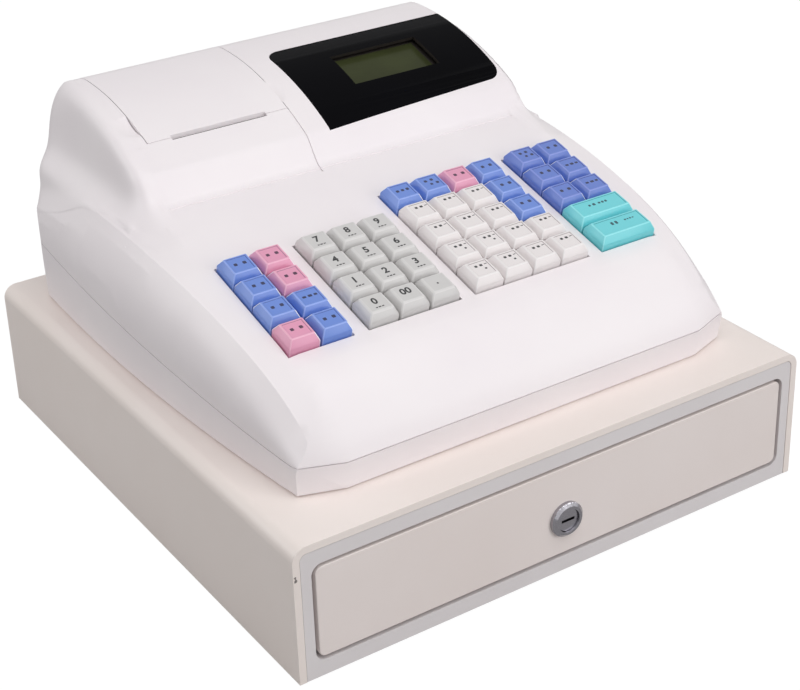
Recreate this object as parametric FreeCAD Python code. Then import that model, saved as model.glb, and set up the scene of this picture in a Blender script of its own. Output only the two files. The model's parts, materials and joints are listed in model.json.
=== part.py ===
import FreeCAD, Part
import math
import os

# Compact cash register on its cash drawer, in millimetres.
# The model is drawn with x = 0 on the centre plane, y = 0 on the cabinet's front face
# and z = 0 on the ground, and is moved to the middle of its own footprint when written.

# Cash drawer cabinet
cabinet_width = 325.0
cabinet_depth = 345.0
cabinet_height = 78.0
sheet = 1.0
cabinet_edge_radius = 8.0
hem_width = 4.0
foot_height = 2.5
foot_radius = 9.0
foot_inset = 26.0
frame_sheet = 1.2
frame_recess = 0.2
frame_gap = 0.3
frame_return = 16.0

# Drawer front and its gap in the frame
drawer_front_margin = 12.0
drawer_front_bottom = 11.0
drawer_front_height = 52.5
drawer_front_radius = 4.0
drawer_gap = 2.0
drawer_front_sheet = 1.2
drawer_front_return = 8.0
drawer_front_edge = 0.6

# Drawer box and runners
box_side_space = 15.0
box_floor_height = 14.0
box_wall_height = 44.0
box_length = 300.0
box_front_wall_place = 30.0
runner_sheet = 1.2
runner_height = 16.0
runner_bottom = 24.0
runner_length = 300.0
runner_front = 18.0
runner_lip_gap = 2.5
drawer_runner_width = 5.0
slide_clearance = 0.35

# Cash tray
tray_clearance = 1.0
tray_wall = 2.0
tray_floor = 2.0
tray_height = 38.0
tray_depth = 262.0
coin_cup_depth = 84.0
coin_cup_count = 4
bill_bay_count = 3
cup_round = 8.0

# Bill clips on their rod
clip_rod_radius = 2.0
rod_fit = 0.1
clip_rod_from_rear = 9.0
clip_rod_from_top = 7.0
clip_hub_radius = 4.4
clip_fit = 0.1
clip_width = 30.0
clip_sheet = 1.4
clip_reach = 98.0
clip_nose = 12.0
clip_rest_gap = 0.5

# Lock in the drawer front
lock_height = 32.5
lock_bezel_radius = 10.0
lock_bezel_length = 3.5
lock_lip = 1.6
lock_recess = 1.2
lock_body_radius = 9.0
lock_body_length = 16.0
lock_fit = 0.1
lock_nut_width = 24.0
lock_nut_thickness = 3.0
plug_radius = 6.4
plug_gap = 0.3
keyway_width = 1.6
keyway_length = 8.4
keyway_depth = 6.0
cam_thickness = 2.0
cam_width = 13.0
cam_length = 36.0
cam_stub = 1.5

# Release unit behind the drawer
striker_width = 26.0
striker_bar = 2.5
striker_reach = 11.0
striker_height = 28.0
latch_thickness = 3.0
latch_height = 7.0
latch_hook = 4.0
latch_lift = 1.5
latch_pivot_radius = 2.0
latch_side_gap = 0.3
latch_fit = 0.1
latch_pivot_setback = 16.0
solenoid_width = 30.0
solenoid_depth = 24.0
solenoid_height = 26.0
solenoid_coil_radius = 9.0
buffer_radius = 7.0
buffer_gap = 0.3
buffer_place = 95.0

# Register case seen from above
case_setback = 29.5
case_nose = 2.5
case_flat_half_width = 113.0
case_corner_angle = 18.5
case_half_width = 148.0
case_side_bow_radius = 1492.0
case_widest_place = 220.0
case_rear_half_width = 152.5
case_rear_radius = 58.0
case_wall = 2.5

# Register case seen from the side
parting_height = 17.4
parting_rise_angle = 4.9
front_arc_radius = 55.1
front_start_angle = 75.0
deck_angle = 14.336
front_row_place = 80.2
deck_flat_end = 175.0
shoulder_arc_end = 330.0
rear_edge_radius = 18.0
corner_end_angle = 20.0
corner_reach = 500.0
side_flare_share = 0.1
side_tuck = 4.0
side_bulge = 4.4
side_bulge_height = 46.0
crease_softness = 4.5
leaf_flats = 4
inner_leaf_flats = 2
outline_height = 170.0

# Side form: stations along the case depth, height of the crease under the deck
# against the shoulder height, and rise of the shoulder above the crease
shoulder_height = 94.0
side_station_shares = (-0.03, 0.052, 0.135, 0.252, 0.43, 0.778, 1.0)
crease_height_shares = (0.055, 0.372, 0.546, 0.691, 0.798, 0.819, 0.66)
shoulder_rise_shares = (0.7, 0.55, 0.37, 0.15, 0.33, 1.0, 1.0)

# Printer and display hump
hump_foot_place = 197.0
hump_foot_height = 84.0
hump_brow_place = 213.0
hump_brow_height = 105.5
hump_middle_place = 245.0
hump_middle_height = 120.6
hump_top_place = 308.0
hump_top_height = 131.3
hump_rear_radius = 30.0
hump_rear_place = 344.0
hump_rear_height = 62.0
hump_half_width = 130.5
hump_side_height = 80.0
hump_side_angle = 6.8
hump_edge_flat = 3.2
hump_knee_radius = 12.0
hump_foot_radius = 7.0
hump_foot_sink = 0.4
hump_skirt_radius = 22.0
hump_skirt_height = 99.0
hump_skirt_angle = 62.0

# Printer bay and cover
cover_left = -108.4
cover_right = -20.0
cover_front = 233.5
cover_hinge_place = 316.0
cover_gap = 0.5
cover_thickness = 2.5
cover_hinge_radius = 3.2
hinge_pin_radius = 1.2
hinge_pin_length = 3.0
hinge_gap = 1.0
hinge_fit = 0.1
cover_rib_depth = 5.0
cover_rib_inset = 1.6
cover_rib_sheet = 1.6
paper_slot_left = -94.0
paper_slot_right = -34.0
paper_slot_width = 3.4
bay_depth = 62.0
bay_wall = 2.0
bay_round = 18.0
mechanism_bay_depth = 43.0
mechanism_bay_rear = 262.0
seam_width = 0.8
seam_depth = 0.8
scoop_place = 248.5
left_scoop_reach = 10.5
left_scoop_depth = 2.2
right_scoop_reach = 16.5
right_scoop_depth = 2.7
right_scoop_inset = 9.5
scoop_backing = 1.6

# Printer mechanism and platen
mechanism_front = 236.0
mechanism_depth = 22.0
mechanism_base = 10.0
mechanism_side = 3.0
mechanism_side_height = 24.0
mechanism_left = -100.0
mechanism_right = -28.0
print_head_depth = 7.0
print_head_height = 20.0
platen_place = 243.0
platen_rise = 18.0
platen_radius = 5.5
platen_shaft_radius = 2.0
platen_fit = 0.1
platen_end_gap = 0.6
platen_gear_radius = 6.5
platen_gear_width = 3.0

# Display window and module
window_left = -4.0
window_right = 121.5
window_front = 213.0
window_front_slant = 5.0
window_rear = 286.0
window_round = 9.0
window_small_round = 2.0
window_thickness = 2.0
window_gap = 0.3
window_ledge = 4.0
ledge_thickness = 2.0
lcd_left = 30.0
lcd_right = 89.0
lcd_front = 236.5
lcd_rear = 266.0
lcd_border = 5.0
lcd_clearance = 0.8
display_board_thickness = 1.6
display_board_gap = 0.85

# Keyboard
key_pitch = 19.05
block_step = 27.94
key_gap = 0.8
well_margin = 0.3
key_rise = 7.7
key_skirt_rise = 3.4
key_top_width = 13.4
key_top_depth = 12.8
key_sink = 4.5
key_travel = 3.0
collar_depth = 6.0
collar_wall = 1.2
key_clearance = 1.0
plate_thickness = 1.6
plate_margin = 4.0
post_width = 4.0

# Main board, connectors and screws
board_thickness = 1.6
board_half_width = 92.0
board_front = 215.0
board_standoff = 5.0
connector_width = 15.0
connector_height = 12.0
power_socket_x = 60.0
data_socket_x = 25.0
connector_fit = 0.4
connector_depth_inside = 12.0
standoff_radius = 4.0
screw_shank_radius = 1.5
screw_head_radius = 3.2
screw_head_height = 2.0
screw_recess = 0.3
screw_length = 14.0
screw_fit = 0.15
boss_radius = 4.5
boss_joint_height = 6.0
front_boss_x = 128.5
front_boss_y = 78.0
rear_boss_x = 136.0
rear_boss_y = 285.0
seam_gap = 0.6
tongue_height = 3.0
tongue_wall = 1.1
tongue_gap = 0.3

# Cutters run past the faces they cut by this much
overrun = 5.0

cabinet_half = cabinet_width / 2
cabinet_floor = foot_height
cabinet_top = foot_height + cabinet_height
case_depth = cabinet_depth - case_setback
front_y = case_setback
nose_y = case_setback - case_nose
model_middle = (cabinet_depth - lock_bezel_length) / 2


def vec(x, y, z):
    return FreeCAD.Vector(x, y, z)


x_axis = vec(1, 0, 0)
y_axis = vec(0, 1, 0)
z_axis = vec(0, 0, 1)


def box(x0, x1, y0, y1, z0, z1):
    return Part.makeBox(x1 - x0, y1 - y0, z1 - z0, vec(x0, y0, z0))


def rod(radius, start, end):
    along = end - start
    return Part.makeCylinder(radius, along.Length, start, along)


def faceted_rod(radius, start, end):
    """Eight-sided rod, for small hidden fittings that repeat."""
    along = (end - start).normalize()
    across = along.cross(vec(along.z, along.x, along.y)).normalize()
    other = along.cross(across)
    turns = [math.radians(45 * i + 45 / 2) for i in range(8)]
    corners = [start + (across * math.cos(t) + other * math.sin(t)) * radius for t in turns]
    return polygon_prism(corners, end - start)


def mirrored(shape):
    return shape.mirror(vec(0, 0, 0), x_axis)


def pair(shape):
    return Part.makeCompound([shape, mirrored(shape)])


def fused(shapes):
    return shapes[0].fuse(shapes[1:]).removeSplitter()


def line(a, b):
    return Part.LineSegment(a, b).toShape()


def arc(a, b, c):
    return Part.Arc(a, b, c).toShape()


def prism(edges, along):
    return Part.Face(Part.Wire(edges)).extrude(along)


def polygon_prism(points, along):
    return Part.Face(Part.makePolygon(points + points[:1])).extrude(along)


def edges_along(shape, direction, test):
    found = []
    for edge in shape.Edges:
        ends = [v.Point for v in edge.Vertexes]
        if len(ends) == 2 and edge.Curve.TypeId == "Part::GeomLine":
            run = (ends[1] - ends[0]).normalize()
            if abs(run.dot(direction)) > math.cos(math.radians(1)) and test(edge.CenterOfMass):
                found.append(edge)
    return found


def rounded(shape, radius, edges):
    return shape.makeFillet(radius, edges).Solids[0]


def rounded_slab(half_width, z0, z1, radius, y0, y1):
    slab = box(-half_width, half_width, y0, y1, z0, z1)
    return rounded(slab, radius, edges_along(slab, y_axis, lambda p: True))


def write(name, shape):
    moved = shape.copy()
    moved.translate(vec(0, -model_middle, 0))
    moved.exportStep("parts/" + name + ".step")
    print(name, len(moved.Solids), round(moved.Volume), moved.isValid())


# Cabinet

def tunnel(inset, y0, y1, z0):
    """Inverted-U outline of the cabinet, drawn inwards by inset, as a solid block."""
    half = cabinet_half - inset
    top = cabinet_top - inset
    block = box(-half, half, y0, y1, z0, top)
    upper = edges_along(block, y_axis, lambda p: p.z > (top + cabinet_floor) / 2)
    return rounded(block, cabinet_edge_radius - inset, upper)


def cabinet_cover():
    shell = tunnel(0, 0, cabinet_depth, cabinet_floor)
    hollow = tunnel(sheet, sheet, cabinet_depth + overrun, cabinet_floor - overrun)
    mouth = tunnel(hem_width, -overrun, sheet + overrun, cabinet_floor - overrun)
    return shell.cut([hollow, mouth])


def cabinet_base():
    half = cabinet_half - sheet
    floor = box(-half, half, sheet + frame_sheet, cabinet_depth, cabinet_floor, cabinet_floor + sheet)
    back = tunnel(sheet + frame_gap, cabinet_depth - sheet, cabinet_depth, cabinet_floor)
    return fused([floor, back])


frame_half_opening = cabinet_half - drawer_front_margin + drawer_gap
frame_opening_bottom = cabinet_floor + drawer_front_bottom - drawer_gap
frame_opening_top = cabinet_floor + drawer_front_bottom + drawer_front_height + drawer_gap


def front_frame():
    y0 = frame_recess
    y1 = sheet + frame_sheet
    panel = tunnel(hem_width + frame_gap, y0, y1, cabinet_floor)
    flange = tunnel(sheet + frame_gap, sheet, y1, cabinet_floor)
    sleeve = rounded_slab(frame_half_opening + frame_sheet, frame_opening_bottom - frame_sheet,
                          frame_opening_top + frame_sheet, drawer_front_radius + drawer_gap + frame_sheet,
                          y0, y0 + frame_return)
    hole = rounded_slab(frame_half_opening, frame_opening_bottom, frame_opening_top,
                        drawer_front_radius + drawer_gap, -overrun, y0 + frame_return + overrun)
    return fused([panel, flange, sleeve]).cut(hole)


def rubber_feet():
    x = cabinet_half - foot_inset
    rear = cabinet_depth - foot_inset
    feet = [rod(foot_radius, vec(side * x, y, 0), vec(side * x, y, foot_height))
            for side in (-1, 1) for y in (foot_inset, rear)]
    return Part.makeCompound(feet)


box_half = cabinet_half - sheet - box_side_space
box_floor = cabinet_floor + box_floor_height
box_top = box_floor + box_wall_height
runner_z = cabinet_floor + runner_bottom


def cabinet_runners():
    outer = cabinet_half - sheet
    inner = box_half + runner_lip_gap
    y0, y1 = runner_front, runner_front + runner_length
    top = runner_z + runner_height
    channel = box(inner, outer, y0, y1, runner_z, top)
    groove = box(inner - overrun, outer - runner_sheet, y0 - overrun, y1 + overrun,
                 runner_z + runner_sheet, top - runner_sheet)
    return pair(channel.cut(groove))


def drawer_runners():
    outer = box_half + drawer_runner_width
    y1 = box_length - overrun
    z0 = runner_z + runner_sheet + slide_clearance
    z1 = runner_z + runner_height - runner_sheet - slide_clearance
    web = box(box_half, outer, runner_front, y1, z0, z1)
    groove = box(box_half + runner_sheet, outer + overrun, runner_front - overrun, y1 + overrun,
                 z0 + runner_sheet, z1 - runner_sheet)
    return pair(web.cut(groove))


# Drawer

drawer_front_half = cabinet_half - drawer_front_margin
drawer_front_z0 = cabinet_floor + drawer_front_bottom
drawer_front_z1 = drawer_front_z0 + drawer_front_height
lock_z = cabinet_floor + lock_height
lock_centre = vec(0, 0, lock_z)


def drawer_front():
    pan = rounded_slab(drawer_front_half, drawer_front_z0, drawer_front_z1, drawer_front_radius,
                       0, drawer_front_return)
    rim = [e for e in pan.Edges if abs(e.CenterOfMass.y) < drawer_front_edge / 2]
    pan = pan.makeChamfer(drawer_front_edge, rim)
    hollow = rounded_slab(drawer_front_half - drawer_front_sheet, drawer_front_z0 + drawer_front_sheet,
                          drawer_front_z1 - drawer_front_sheet, drawer_front_radius - drawer_front_sheet,
                          drawer_front_sheet, drawer_front_return + overrun)
    lock_hole = rod(lock_body_radius + lock_fit, lock_centre - y_axis * overrun,
                    lock_centre + y_axis * overrun)
    return pan.cut([hollow, lock_hole])


striker_z = box_floor + striker_height


def drawer_box():
    y0 = drawer_front_sheet
    outside = box(-box_half, box_half, y0, box_length, box_floor, box_top)
    inside_half = box_half - sheet
    well = box(-inside_half, inside_half, box_front_wall_place + sheet, box_length - sheet,
               box_floor + sheet, box_top + overrun)
    nose = box(-inside_half, inside_half, y0 - overrun, box_front_wall_place,
               box_floor + sheet, box_top + overrun)
    bar_y = box_length + striker_reach
    loop = box(-striker_width / 2, striker_width / 2, box_length, bar_y,
               striker_z - striker_bar, striker_z)
    loop_hole = box(-striker_width / 2 + striker_bar, striker_width / 2 - striker_bar, box_length,
                    bar_y - striker_bar, striker_z - striker_bar, striker_z)
    return Part.makeCompound([outside.cut([well, nose]), loop.cut(loop_hole)])


tray_half = box_half - sheet - tray_clearance
tray_front = box_front_wall_place + sheet + tray_clearance
tray_rear = tray_front + tray_depth
tray_z = box_floor + sheet
tray_top = tray_z + tray_height
rod_y = tray_rear - clip_rod_from_rear
rod_z = tray_top - clip_rod_from_top


def cells(count, y0, y1, floor_round):
    """Open cells side by side across the tray, as cutters with floors curved up at front and back."""
    cell = (2 * tray_half - tray_wall * (count + 1)) / count
    cutters = []
    for i in range(count):
        x0 = -tray_half + tray_wall + i * (cell + tray_wall)
        cutter = box(x0, x0 + cell, y0, y1, tray_z + tray_floor, tray_top + overrun)
        low = edges_along(cutter, x_axis, lambda p: p.z < tray_top)
        cutters.append(rounded(cutter, floor_round, low) if floor_round else cutter)
    return cutters


coin_y0 = tray_front + tray_wall
coin_y1 = coin_y0 + coin_cup_depth
bill_y0 = coin_y1 + tray_wall * 2
bill_y1 = tray_rear - tray_wall


def cash_tray():
    """Coin cups at the front and note bays behind them, two mouldings side by side."""
    joint_y = coin_y1 + tray_wall
    coin_block = box(-tray_half, tray_half, tray_front, joint_y, tray_z, tray_top)
    bill_block = box(-tray_half, tray_half, joint_y, tray_rear, tray_z, tray_top)
    cups = cells(coin_cup_count, coin_y0, coin_y1, cup_round)
    bays = cells(bill_bay_count, bill_y0, bill_y1, 0)
    rod_hole = rod(clip_rod_radius + rod_fit, vec(-tray_half - overrun, rod_y, rod_z),
                   vec(tray_half + overrun, rod_y, rod_z))
    return Part.makeCompound([coin_block.cut(cups), bill_block.cut(bays + [rod_hole])])


def clip_rod():
    return rod(clip_rod_radius, vec(-tray_half, rod_y, rod_z), vec(tray_half, rod_y, rod_z))


def bill_clip(x):
    """Sheet lever that hangs from the rod and rests just over the bay's floor."""
    floor_z = tray_z + tray_floor + clip_rest_gap
    x0 = x - clip_width / 2
    tip_y = rod_y - clip_reach
    knee = vec(x0, tip_y + clip_nose, floor_z)
    toe = vec(x0, tip_y, floor_z + clip_nose / 2)
    heel = vec(x0, rod_y - clip_hub_radius / 2, rod_z + clip_hub_radius / 2)
    thick = vec(0, 0, clip_sheet)
    side = [heel, knee, toe, toe + thick, knee + thick, heel + thick]
    arm = polygon_prism(side, x_axis * clip_width)
    start = vec(x0, rod_y, rod_z)
    end = start + x_axis * clip_width
    hub = rod(clip_hub_radius, start, end)
    bore = rod(clip_rod_radius + clip_fit, start - x_axis * overrun, end + x_axis * overrun)
    return fused([arm, hub]).cut(bore)


def bay_centres():
    cell = (2 * tray_half - tray_wall * (bill_bay_count + 1)) / bill_bay_count
    first = -tray_half + tray_wall + cell / 2
    return [first + i * (cell + tray_wall) for i in range(bill_bay_count)]


# Lock

def at_lock(depth):
    return lock_centre + y_axis * depth


def lock_barrel():
    collar = rod(lock_bezel_radius, at_lock(lock_lip - lock_bezel_length), at_lock(0))
    slope = Part.makeCone(lock_bezel_radius - lock_lip, lock_bezel_radius, lock_lip,
                          at_lock(-lock_bezel_length), y_axis)
    body = rod(lock_body_radius, at_lock(0), at_lock(lock_body_length))
    nut_y = drawer_front_sheet
    corners = []
    for i in range(6):
        turn = math.radians(60 * i)
        corners.append(at_lock(nut_y) + vec(math.cos(turn), 0, math.sin(turn)) * (lock_nut_width / 2))
    nut = polygon_prism(corners, y_axis * lock_nut_thickness)
    bore = rod(plug_radius + plug_gap, at_lock(-lock_bezel_length - overrun),
               at_lock(lock_body_length + overrun))
    return fused([collar, slope, body, nut]).cut(bore)


def lock_plug():
    face = -lock_bezel_length + lock_recess
    plug = rod(plug_radius, at_lock(face), at_lock(lock_body_length + cam_stub))
    slot = box(-keyway_length / 2, keyway_length / 2, face - overrun, face + keyway_depth,
               lock_z - keyway_width / 2, lock_z + keyway_width / 2)
    return plug.cut(slot)


def lock_cam():
    """Flat cam on the plug's end: round hub, straight arm, corners cut off its tip."""
    y0 = lock_body_length + cam_stub
    half = cam_width / 2
    start = at_lock(y0)
    hub = rod(half, start, start + y_axis * cam_thickness)
    outline = [(0, -half), (cam_length, -half), (cam_length + half, -half / 2), (cam_length + half, half / 2),
               (cam_length, half), (0, half)]
    arm = polygon_prism([start + vec(x, 0, z) for x, z in outline], y_axis * cam_thickness)
    return fused([hub, arm])


# Release unit

latch_y = box_length + striker_reach + latch_pivot_setback
latch_z = striker_z + latch_lift + latch_height


def drawer_latch():
    """Hooked lever over the striker loop, lifted clear of it at rest."""
    hook_y = box_length + latch_lift
    hook_end = hook_y + latch_hook
    x0 = -latch_thickness / 2
    low = striker_z + latch_lift
    side = [vec(x0, latch_y, latch_z + latch_height / 2), vec(x0, hook_y, latch_z + latch_height / 2),
            vec(x0, hook_y, low), vec(x0, hook_end, low), vec(x0, hook_end, latch_z - latch_height / 2),
            vec(x0, latch_y, latch_z - latch_height / 2)]
    lever = polygon_prism(side, x_axis * latch_thickness)
    hub = rod(latch_height / 2, vec(x0, latch_y, latch_z), vec(-x0, latch_y, latch_z))
    reach = x_axis * (latch_thickness / 2 + overrun)
    bore = rod(latch_pivot_radius + latch_fit, vec(0, latch_y, latch_z) - reach,
               vec(0, latch_y, latch_z) + reach)
    return fused([lever, hub]).cut(bore)


def release_solenoid():
    """Coil in its yoke on the floor, with the two cheeks and pin that carry the latch."""
    floor_z = cabinet_floor + sheet
    rear = cabinet_depth - sheet
    y0 = rear - solenoid_depth
    half = solenoid_width / 2
    yoke = box(-half, half, y0, rear, floor_z, floor_z + solenoid_height)
    window_half = half - runner_sheet * 2
    window = box(-window_half, window_half, y0 - overrun, rear + overrun,
                 floor_z + runner_sheet * 2, floor_z + solenoid_height - runner_sheet * 2)
    coil_start = vec(-window_half, (y0 + rear) / 2, floor_z + solenoid_height / 2)
    coil = faceted_rod(solenoid_coil_radius, coil_start, coil_start + x_axis * (window_half * 2))
    cheek_in = latch_thickness / 2 + latch_side_gap
    cheek_out = cheek_in + runner_sheet * 2
    cheek = box(cheek_in, cheek_out, latch_y - latch_height / 2, rear, floor_z + solenoid_height,
                latch_z + latch_height / 2)
    pin = rod(latch_pivot_radius, vec(-cheek_out, latch_y, latch_z), vec(cheek_out, latch_y, latch_z))
    return fused([yoke.cut(window), coil, cheek, mirrored(cheek), pin])


def drawer_buffers():
    z = box_floor + box_wall_height / 2
    buffer = faceted_rod(buffer_radius, vec(buffer_place, box_length + buffer_gap, z),
                         vec(buffer_place, cabinet_depth - sheet, z))
    return pair(buffer)


# Register case volumes

deck_slope = math.tan(math.radians(deck_angle))


def front_arc_point(x, angle, inset):
    """Point on the big front arc of the side view, drawn inwards by inset."""
    start = math.radians(front_start_angle)
    turn = math.radians(angle)
    centre_y = nose_y + front_arc_radius * math.sin(start)
    centre_z = cabinet_top + parting_height - front_arc_radius * math.cos(start)
    radius = front_arc_radius - inset
    return vec(x, centre_y - radius * math.sin(turn), centre_z + radius * math.cos(turn))


def front_edges(x, end_angle, y_end, inset):
    """Front of the side view: leaning foot, big front arc, then a straight run."""
    foot = vec(x, front_y + inset, cabinet_top)
    nose = front_arc_point(x, front_start_angle, inset)
    middle = front_arc_point(x, (front_start_angle + end_angle) / 2, inset)
    crown = front_arc_point(x, end_angle, inset)
    run_end = vec(x, y_end, crown.z + (y_end - crown.y) * math.tan(math.radians(end_angle)))
    return foot, run_end, [line(foot, nose), arc(nose, middle, crown), line(crown, run_end)]


deck_crown = front_arc_point(0, deck_angle, 0)


def deck_z(y):
    return deck_crown.z + (y - deck_crown.y) * deck_slope


def deck_form(inset):
    """Side view of the case without the hump, run across the whole width."""
    x = -cabinet_half
    turn = math.radians(deck_angle)
    foot, flat_end, edges = front_edges(x, deck_angle, deck_flat_end, inset)
    radius = (shoulder_arc_end - deck_flat_end) / (2 * math.sin(turn))
    centre = flat_end + vec(0, math.sin(turn), -math.cos(turn)) * radius
    top = centre + z_axis * radius
    fall = vec(x, 2 * centre.y - flat_end.y, flat_end.z)
    rear = cabinet_depth - inset
    drop = (rear - fall.y) * math.tan(turn)
    corner = vec(x, rear, fall.z - drop)
    low = vec(x, rear, cabinet_top)
    edges += [arc(flat_end, top, fall), line(fall, corner), line(corner, low), line(low, foot)]
    form = prism(edges, x_axis * cabinet_width)
    brow = edges_along(form, x_axis, lambda p: p.y > rear - overrun and p.z > cabinet_top + overrun)
    return rounded(form, rear_edge_radius - inset, brow)


def corner_form(inset):
    """Cuts the right front corner: the front arc again, turned about the corner's foot."""
    x = -corner_reach
    foot, run_end, edges = front_edges(x, corner_end_angle, corner_reach, inset)
    low = vec(x, corner_reach, cabinet_top)
    edges += [line(run_end, low), line(low, foot)]
    form = prism(edges, x_axis * corner_reach * 2)
    form.rotate(vec(case_flat_half_width, front_y, 0), z_axis, case_corner_angle)
    return form


def side_half_width(y):
    bow = math.sqrt(case_side_bow_radius ** 2 - (y - case_widest_place) ** 2)
    return case_half_width - case_side_bow_radius + bow


def parting_z(y):
    return cabinet_top + parting_height + (y - nose_y) * math.tan(math.radians(parting_rise_angle))


def side_section(y, crease_share, rise_share, inset):
    """Cross-section of the side form: flared foot, leaf bulged in flats, eased crease and shoulder."""
    base = side_half_width(y)
    crease_height = shoulder_height * crease_share
    part_height = min(parting_z(y) - cabinet_top, crease_height / 2)
    crease = vec(base - side_tuck - inset, y, cabinet_top + crease_height - inset)
    foot = vec(base - inset, y, cabinet_top)
    part = vec(base + part_height * side_flare_share - inset, y, cabinet_top + part_height)
    leaf = crease - part
    out = vec(leaf.z, 0, -leaf.x).normalize()
    swell = side_bulge * min(1, leaf.Length / side_bulge_height)
    apex = vec(0, y, crease.z + crease.x * rise_share)
    soft = min(crease_softness, leaf.Length / 3)
    leaf_end = crease - leaf.normalize() * soft
    roof_start = crease + (apex - crease).normalize() * soft
    leaf = leaf_end - part
    flats = inner_leaf_flats if inset else leaf_flats
    shares = [k / flats for k in range(1, flats)]
    belly = [part + leaf * a + out * (4 * swell * a * (1 - a)) for a in shares]
    right = [foot, part] + belly + [leaf_end, roof_start, apex]
    left = [vec(-p.x, p.y, p.z) for p in reversed(right[:-1])]
    return Part.makePolygon(right + left + [foot])


def side_form(inset):
    rows = zip(side_station_shares, crease_height_shares, shoulder_rise_shares)
    wires = [side_section(front_y + case_depth * s, c, r, inset) for s, c, r in rows]
    return Part.makeLoft(wires, True)


def rear_outline(inset):
    half = case_rear_half_width - inset
    block = box(-half, half, 0, cabinet_depth - inset, cabinet_top, cabinet_top + outline_height)
    upright = edges_along(block, z_axis, lambda p: p.y > cabinet_depth / 2)
    return rounded(block, case_rear_radius - inset, upright)


def arc_centre(a, b, c):
    return Part.Arc(a, b, c).toShape().Curve.Center


def hump_foot_arc(x, inset):
    """Hollow arc that leads from the deck up into the hump's front, dipping just under the deck."""
    front = math.atan2(hump_brow_height - hump_foot_height, hump_brow_place - hump_foot_place)
    deck = math.radians(deck_angle)
    front_normal = vec(0, -math.sin(front), math.cos(front))
    deck_normal = vec(0, -math.sin(deck), math.cos(deck))
    along_front = vec(0, math.cos(front), math.sin(front))
    brow = vec(x, hump_brow_place, cabinet_top + hump_brow_height) + front_normal * hump_foot_radius
    ground = vec(x, hump_foot_place, deck_z(hump_foot_place) - hump_foot_sink)
    ground += deck_normal * hump_foot_radius
    reach = (ground - brow).dot(deck_normal) / along_front.dot(deck_normal)
    centre = brow + along_front * reach
    radius = hump_foot_radius + inset
    between = (front_normal + deck_normal).normalize()
    return [centre - n * radius for n in (deck_normal, between, front_normal)]


def hump_form(inset):
    """Hump that carries the printer and the display, drawn inwards by inset."""
    x = -cabinet_half

    def at(y, height):
        return vec(x, y, cabinet_top + height)

    brow = at(hump_brow_place, hump_brow_height)
    middle = at(hump_middle_place, hump_middle_height)
    top = at(hump_top_place, hump_top_height)
    centre = arc_centre(brow, middle, top)
    foot_start, foot_middle, foot_end = hump_foot_arc(x, inset)
    brow, middle, top = [p + (centre - p).normalize() * inset for p in (brow, middle, top)]
    bend = hump_rear_radius - inset
    rear_centre = vec(x, hump_top_place, cabinet_top + hump_top_height - hump_rear_radius)
    top = rear_centre + (top - rear_centre).normalize() * bend
    low = at(hump_rear_place - inset, hump_rear_height)
    toe = vec(x, foot_start.y, low.z)
    drop = low - rear_centre
    end = math.atan2(drop.y, drop.z) - math.acos(bend / drop.Length)
    rear = rear_centre + vec(0, math.sin(end), math.cos(end)) * bend
    half_way = rear_centre + vec(0, math.sin(end / 2), math.cos(end / 2)) * bend
    edges = [line(toe, foot_start), arc(foot_start, foot_middle, foot_end), line(foot_end, brow),
             arc(brow, middle, top), arc(top, half_way, rear), line(rear, low), line(low, toe)]
    face = Part.Face(Part.Wire(edges))
    form = face.extrude(x_axis * cabinet_width)
    knee = edges_along(form, x_axis, lambda p: abs(p.y - brow.y) + abs(p.z - brow.z) < overrun)
    form = rounded(form, hump_knee_radius, knee)
    return form.common(hump_sides(inset))


def hump_sides(inset):
    """End view of the hump run along the case: leaning sides that flare out at the foot."""
    lean = math.radians(hump_side_angle)
    start_height = hump_skirt_height
    start_x = hump_half_width - inset - (start_height - hump_side_height) * math.tan(lean)
    radius = hump_skirt_radius + inset
    centre = vec(start_x + radius * math.cos(lean), 0, cabinet_top + start_height + radius * math.sin(lean))

    def on_skirt(turn):
        return centre - vec(math.cos(turn), 0, math.sin(turn)) * radius

    end = math.radians(hump_skirt_angle)
    start, middle, flared = on_skirt(lean), on_skirt((lean + end) / 2), on_skirt(end)
    low = vec(flared.x, 0, cabinet_top + hump_rear_height - overrun)
    high_z = cabinet_top + outline_height
    high = vec(start.x - (high_z - start.z) * math.tan(lean), 0, high_z)

    def flip(p):
        return vec(-p.x, p.y, p.z)

    edges = [line(flip(low), low), line(low, flared), arc(flared, middle, start), line(start, high),
             line(high, flip(high)), line(flip(high), flip(start)),
             arc(flip(start), flip(middle), flip(flared)), line(flip(flared), flip(low))]
    return prism(edges, y_axis * cabinet_depth * 2)


def case_volume(inset):
    corner = corner_form(inset)
    body = deck_form(inset).common(side_form(inset))
    body = body.common(corner).common(mirrored(corner))
    hump = hump_form(inset)
    if not inset:
        ridge = [e for e in hump.Edges if rounds_over(e)]
        hump = hump.makeChamfer(hump_edge_flat, ridge).Solids[0]
    return body.fuse(hump).common(rear_outline(inset))


def rounds_over(edge):
    """True for the edges where the hump's top meets its two leaning sides."""
    middle = edge.CenterOfMass
    at_side = abs(middle.x) > hump_half_width / 2
    return at_side and middle.z > cabinet_top + hump_rear_height + overrun


case_shape = case_volume(0)
case_hollow = case_volume(case_wall)
tongue_outer = case_volume(case_wall - tongue_wall)
rebate = case_volume(case_wall - tongue_wall - tongue_gap)


# Keyboard places: blocks of columns from left to right, rows from the front to the back

plate_drop = key_sink + key_travel + key_clearance
block_columns = (2, 3, 4, 2)
block_rows = (4, 4, 5, 5)


def block_start(block):
    """Place of the block's first column across the deck."""
    columns = sum(block_columns) - len(block_columns)
    whole = columns * key_pitch + (len(block_columns) - 1) * block_step
    before = sum(block_columns[:block]) - block
    return before * key_pitch + block * block_step - whole / 2


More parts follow.
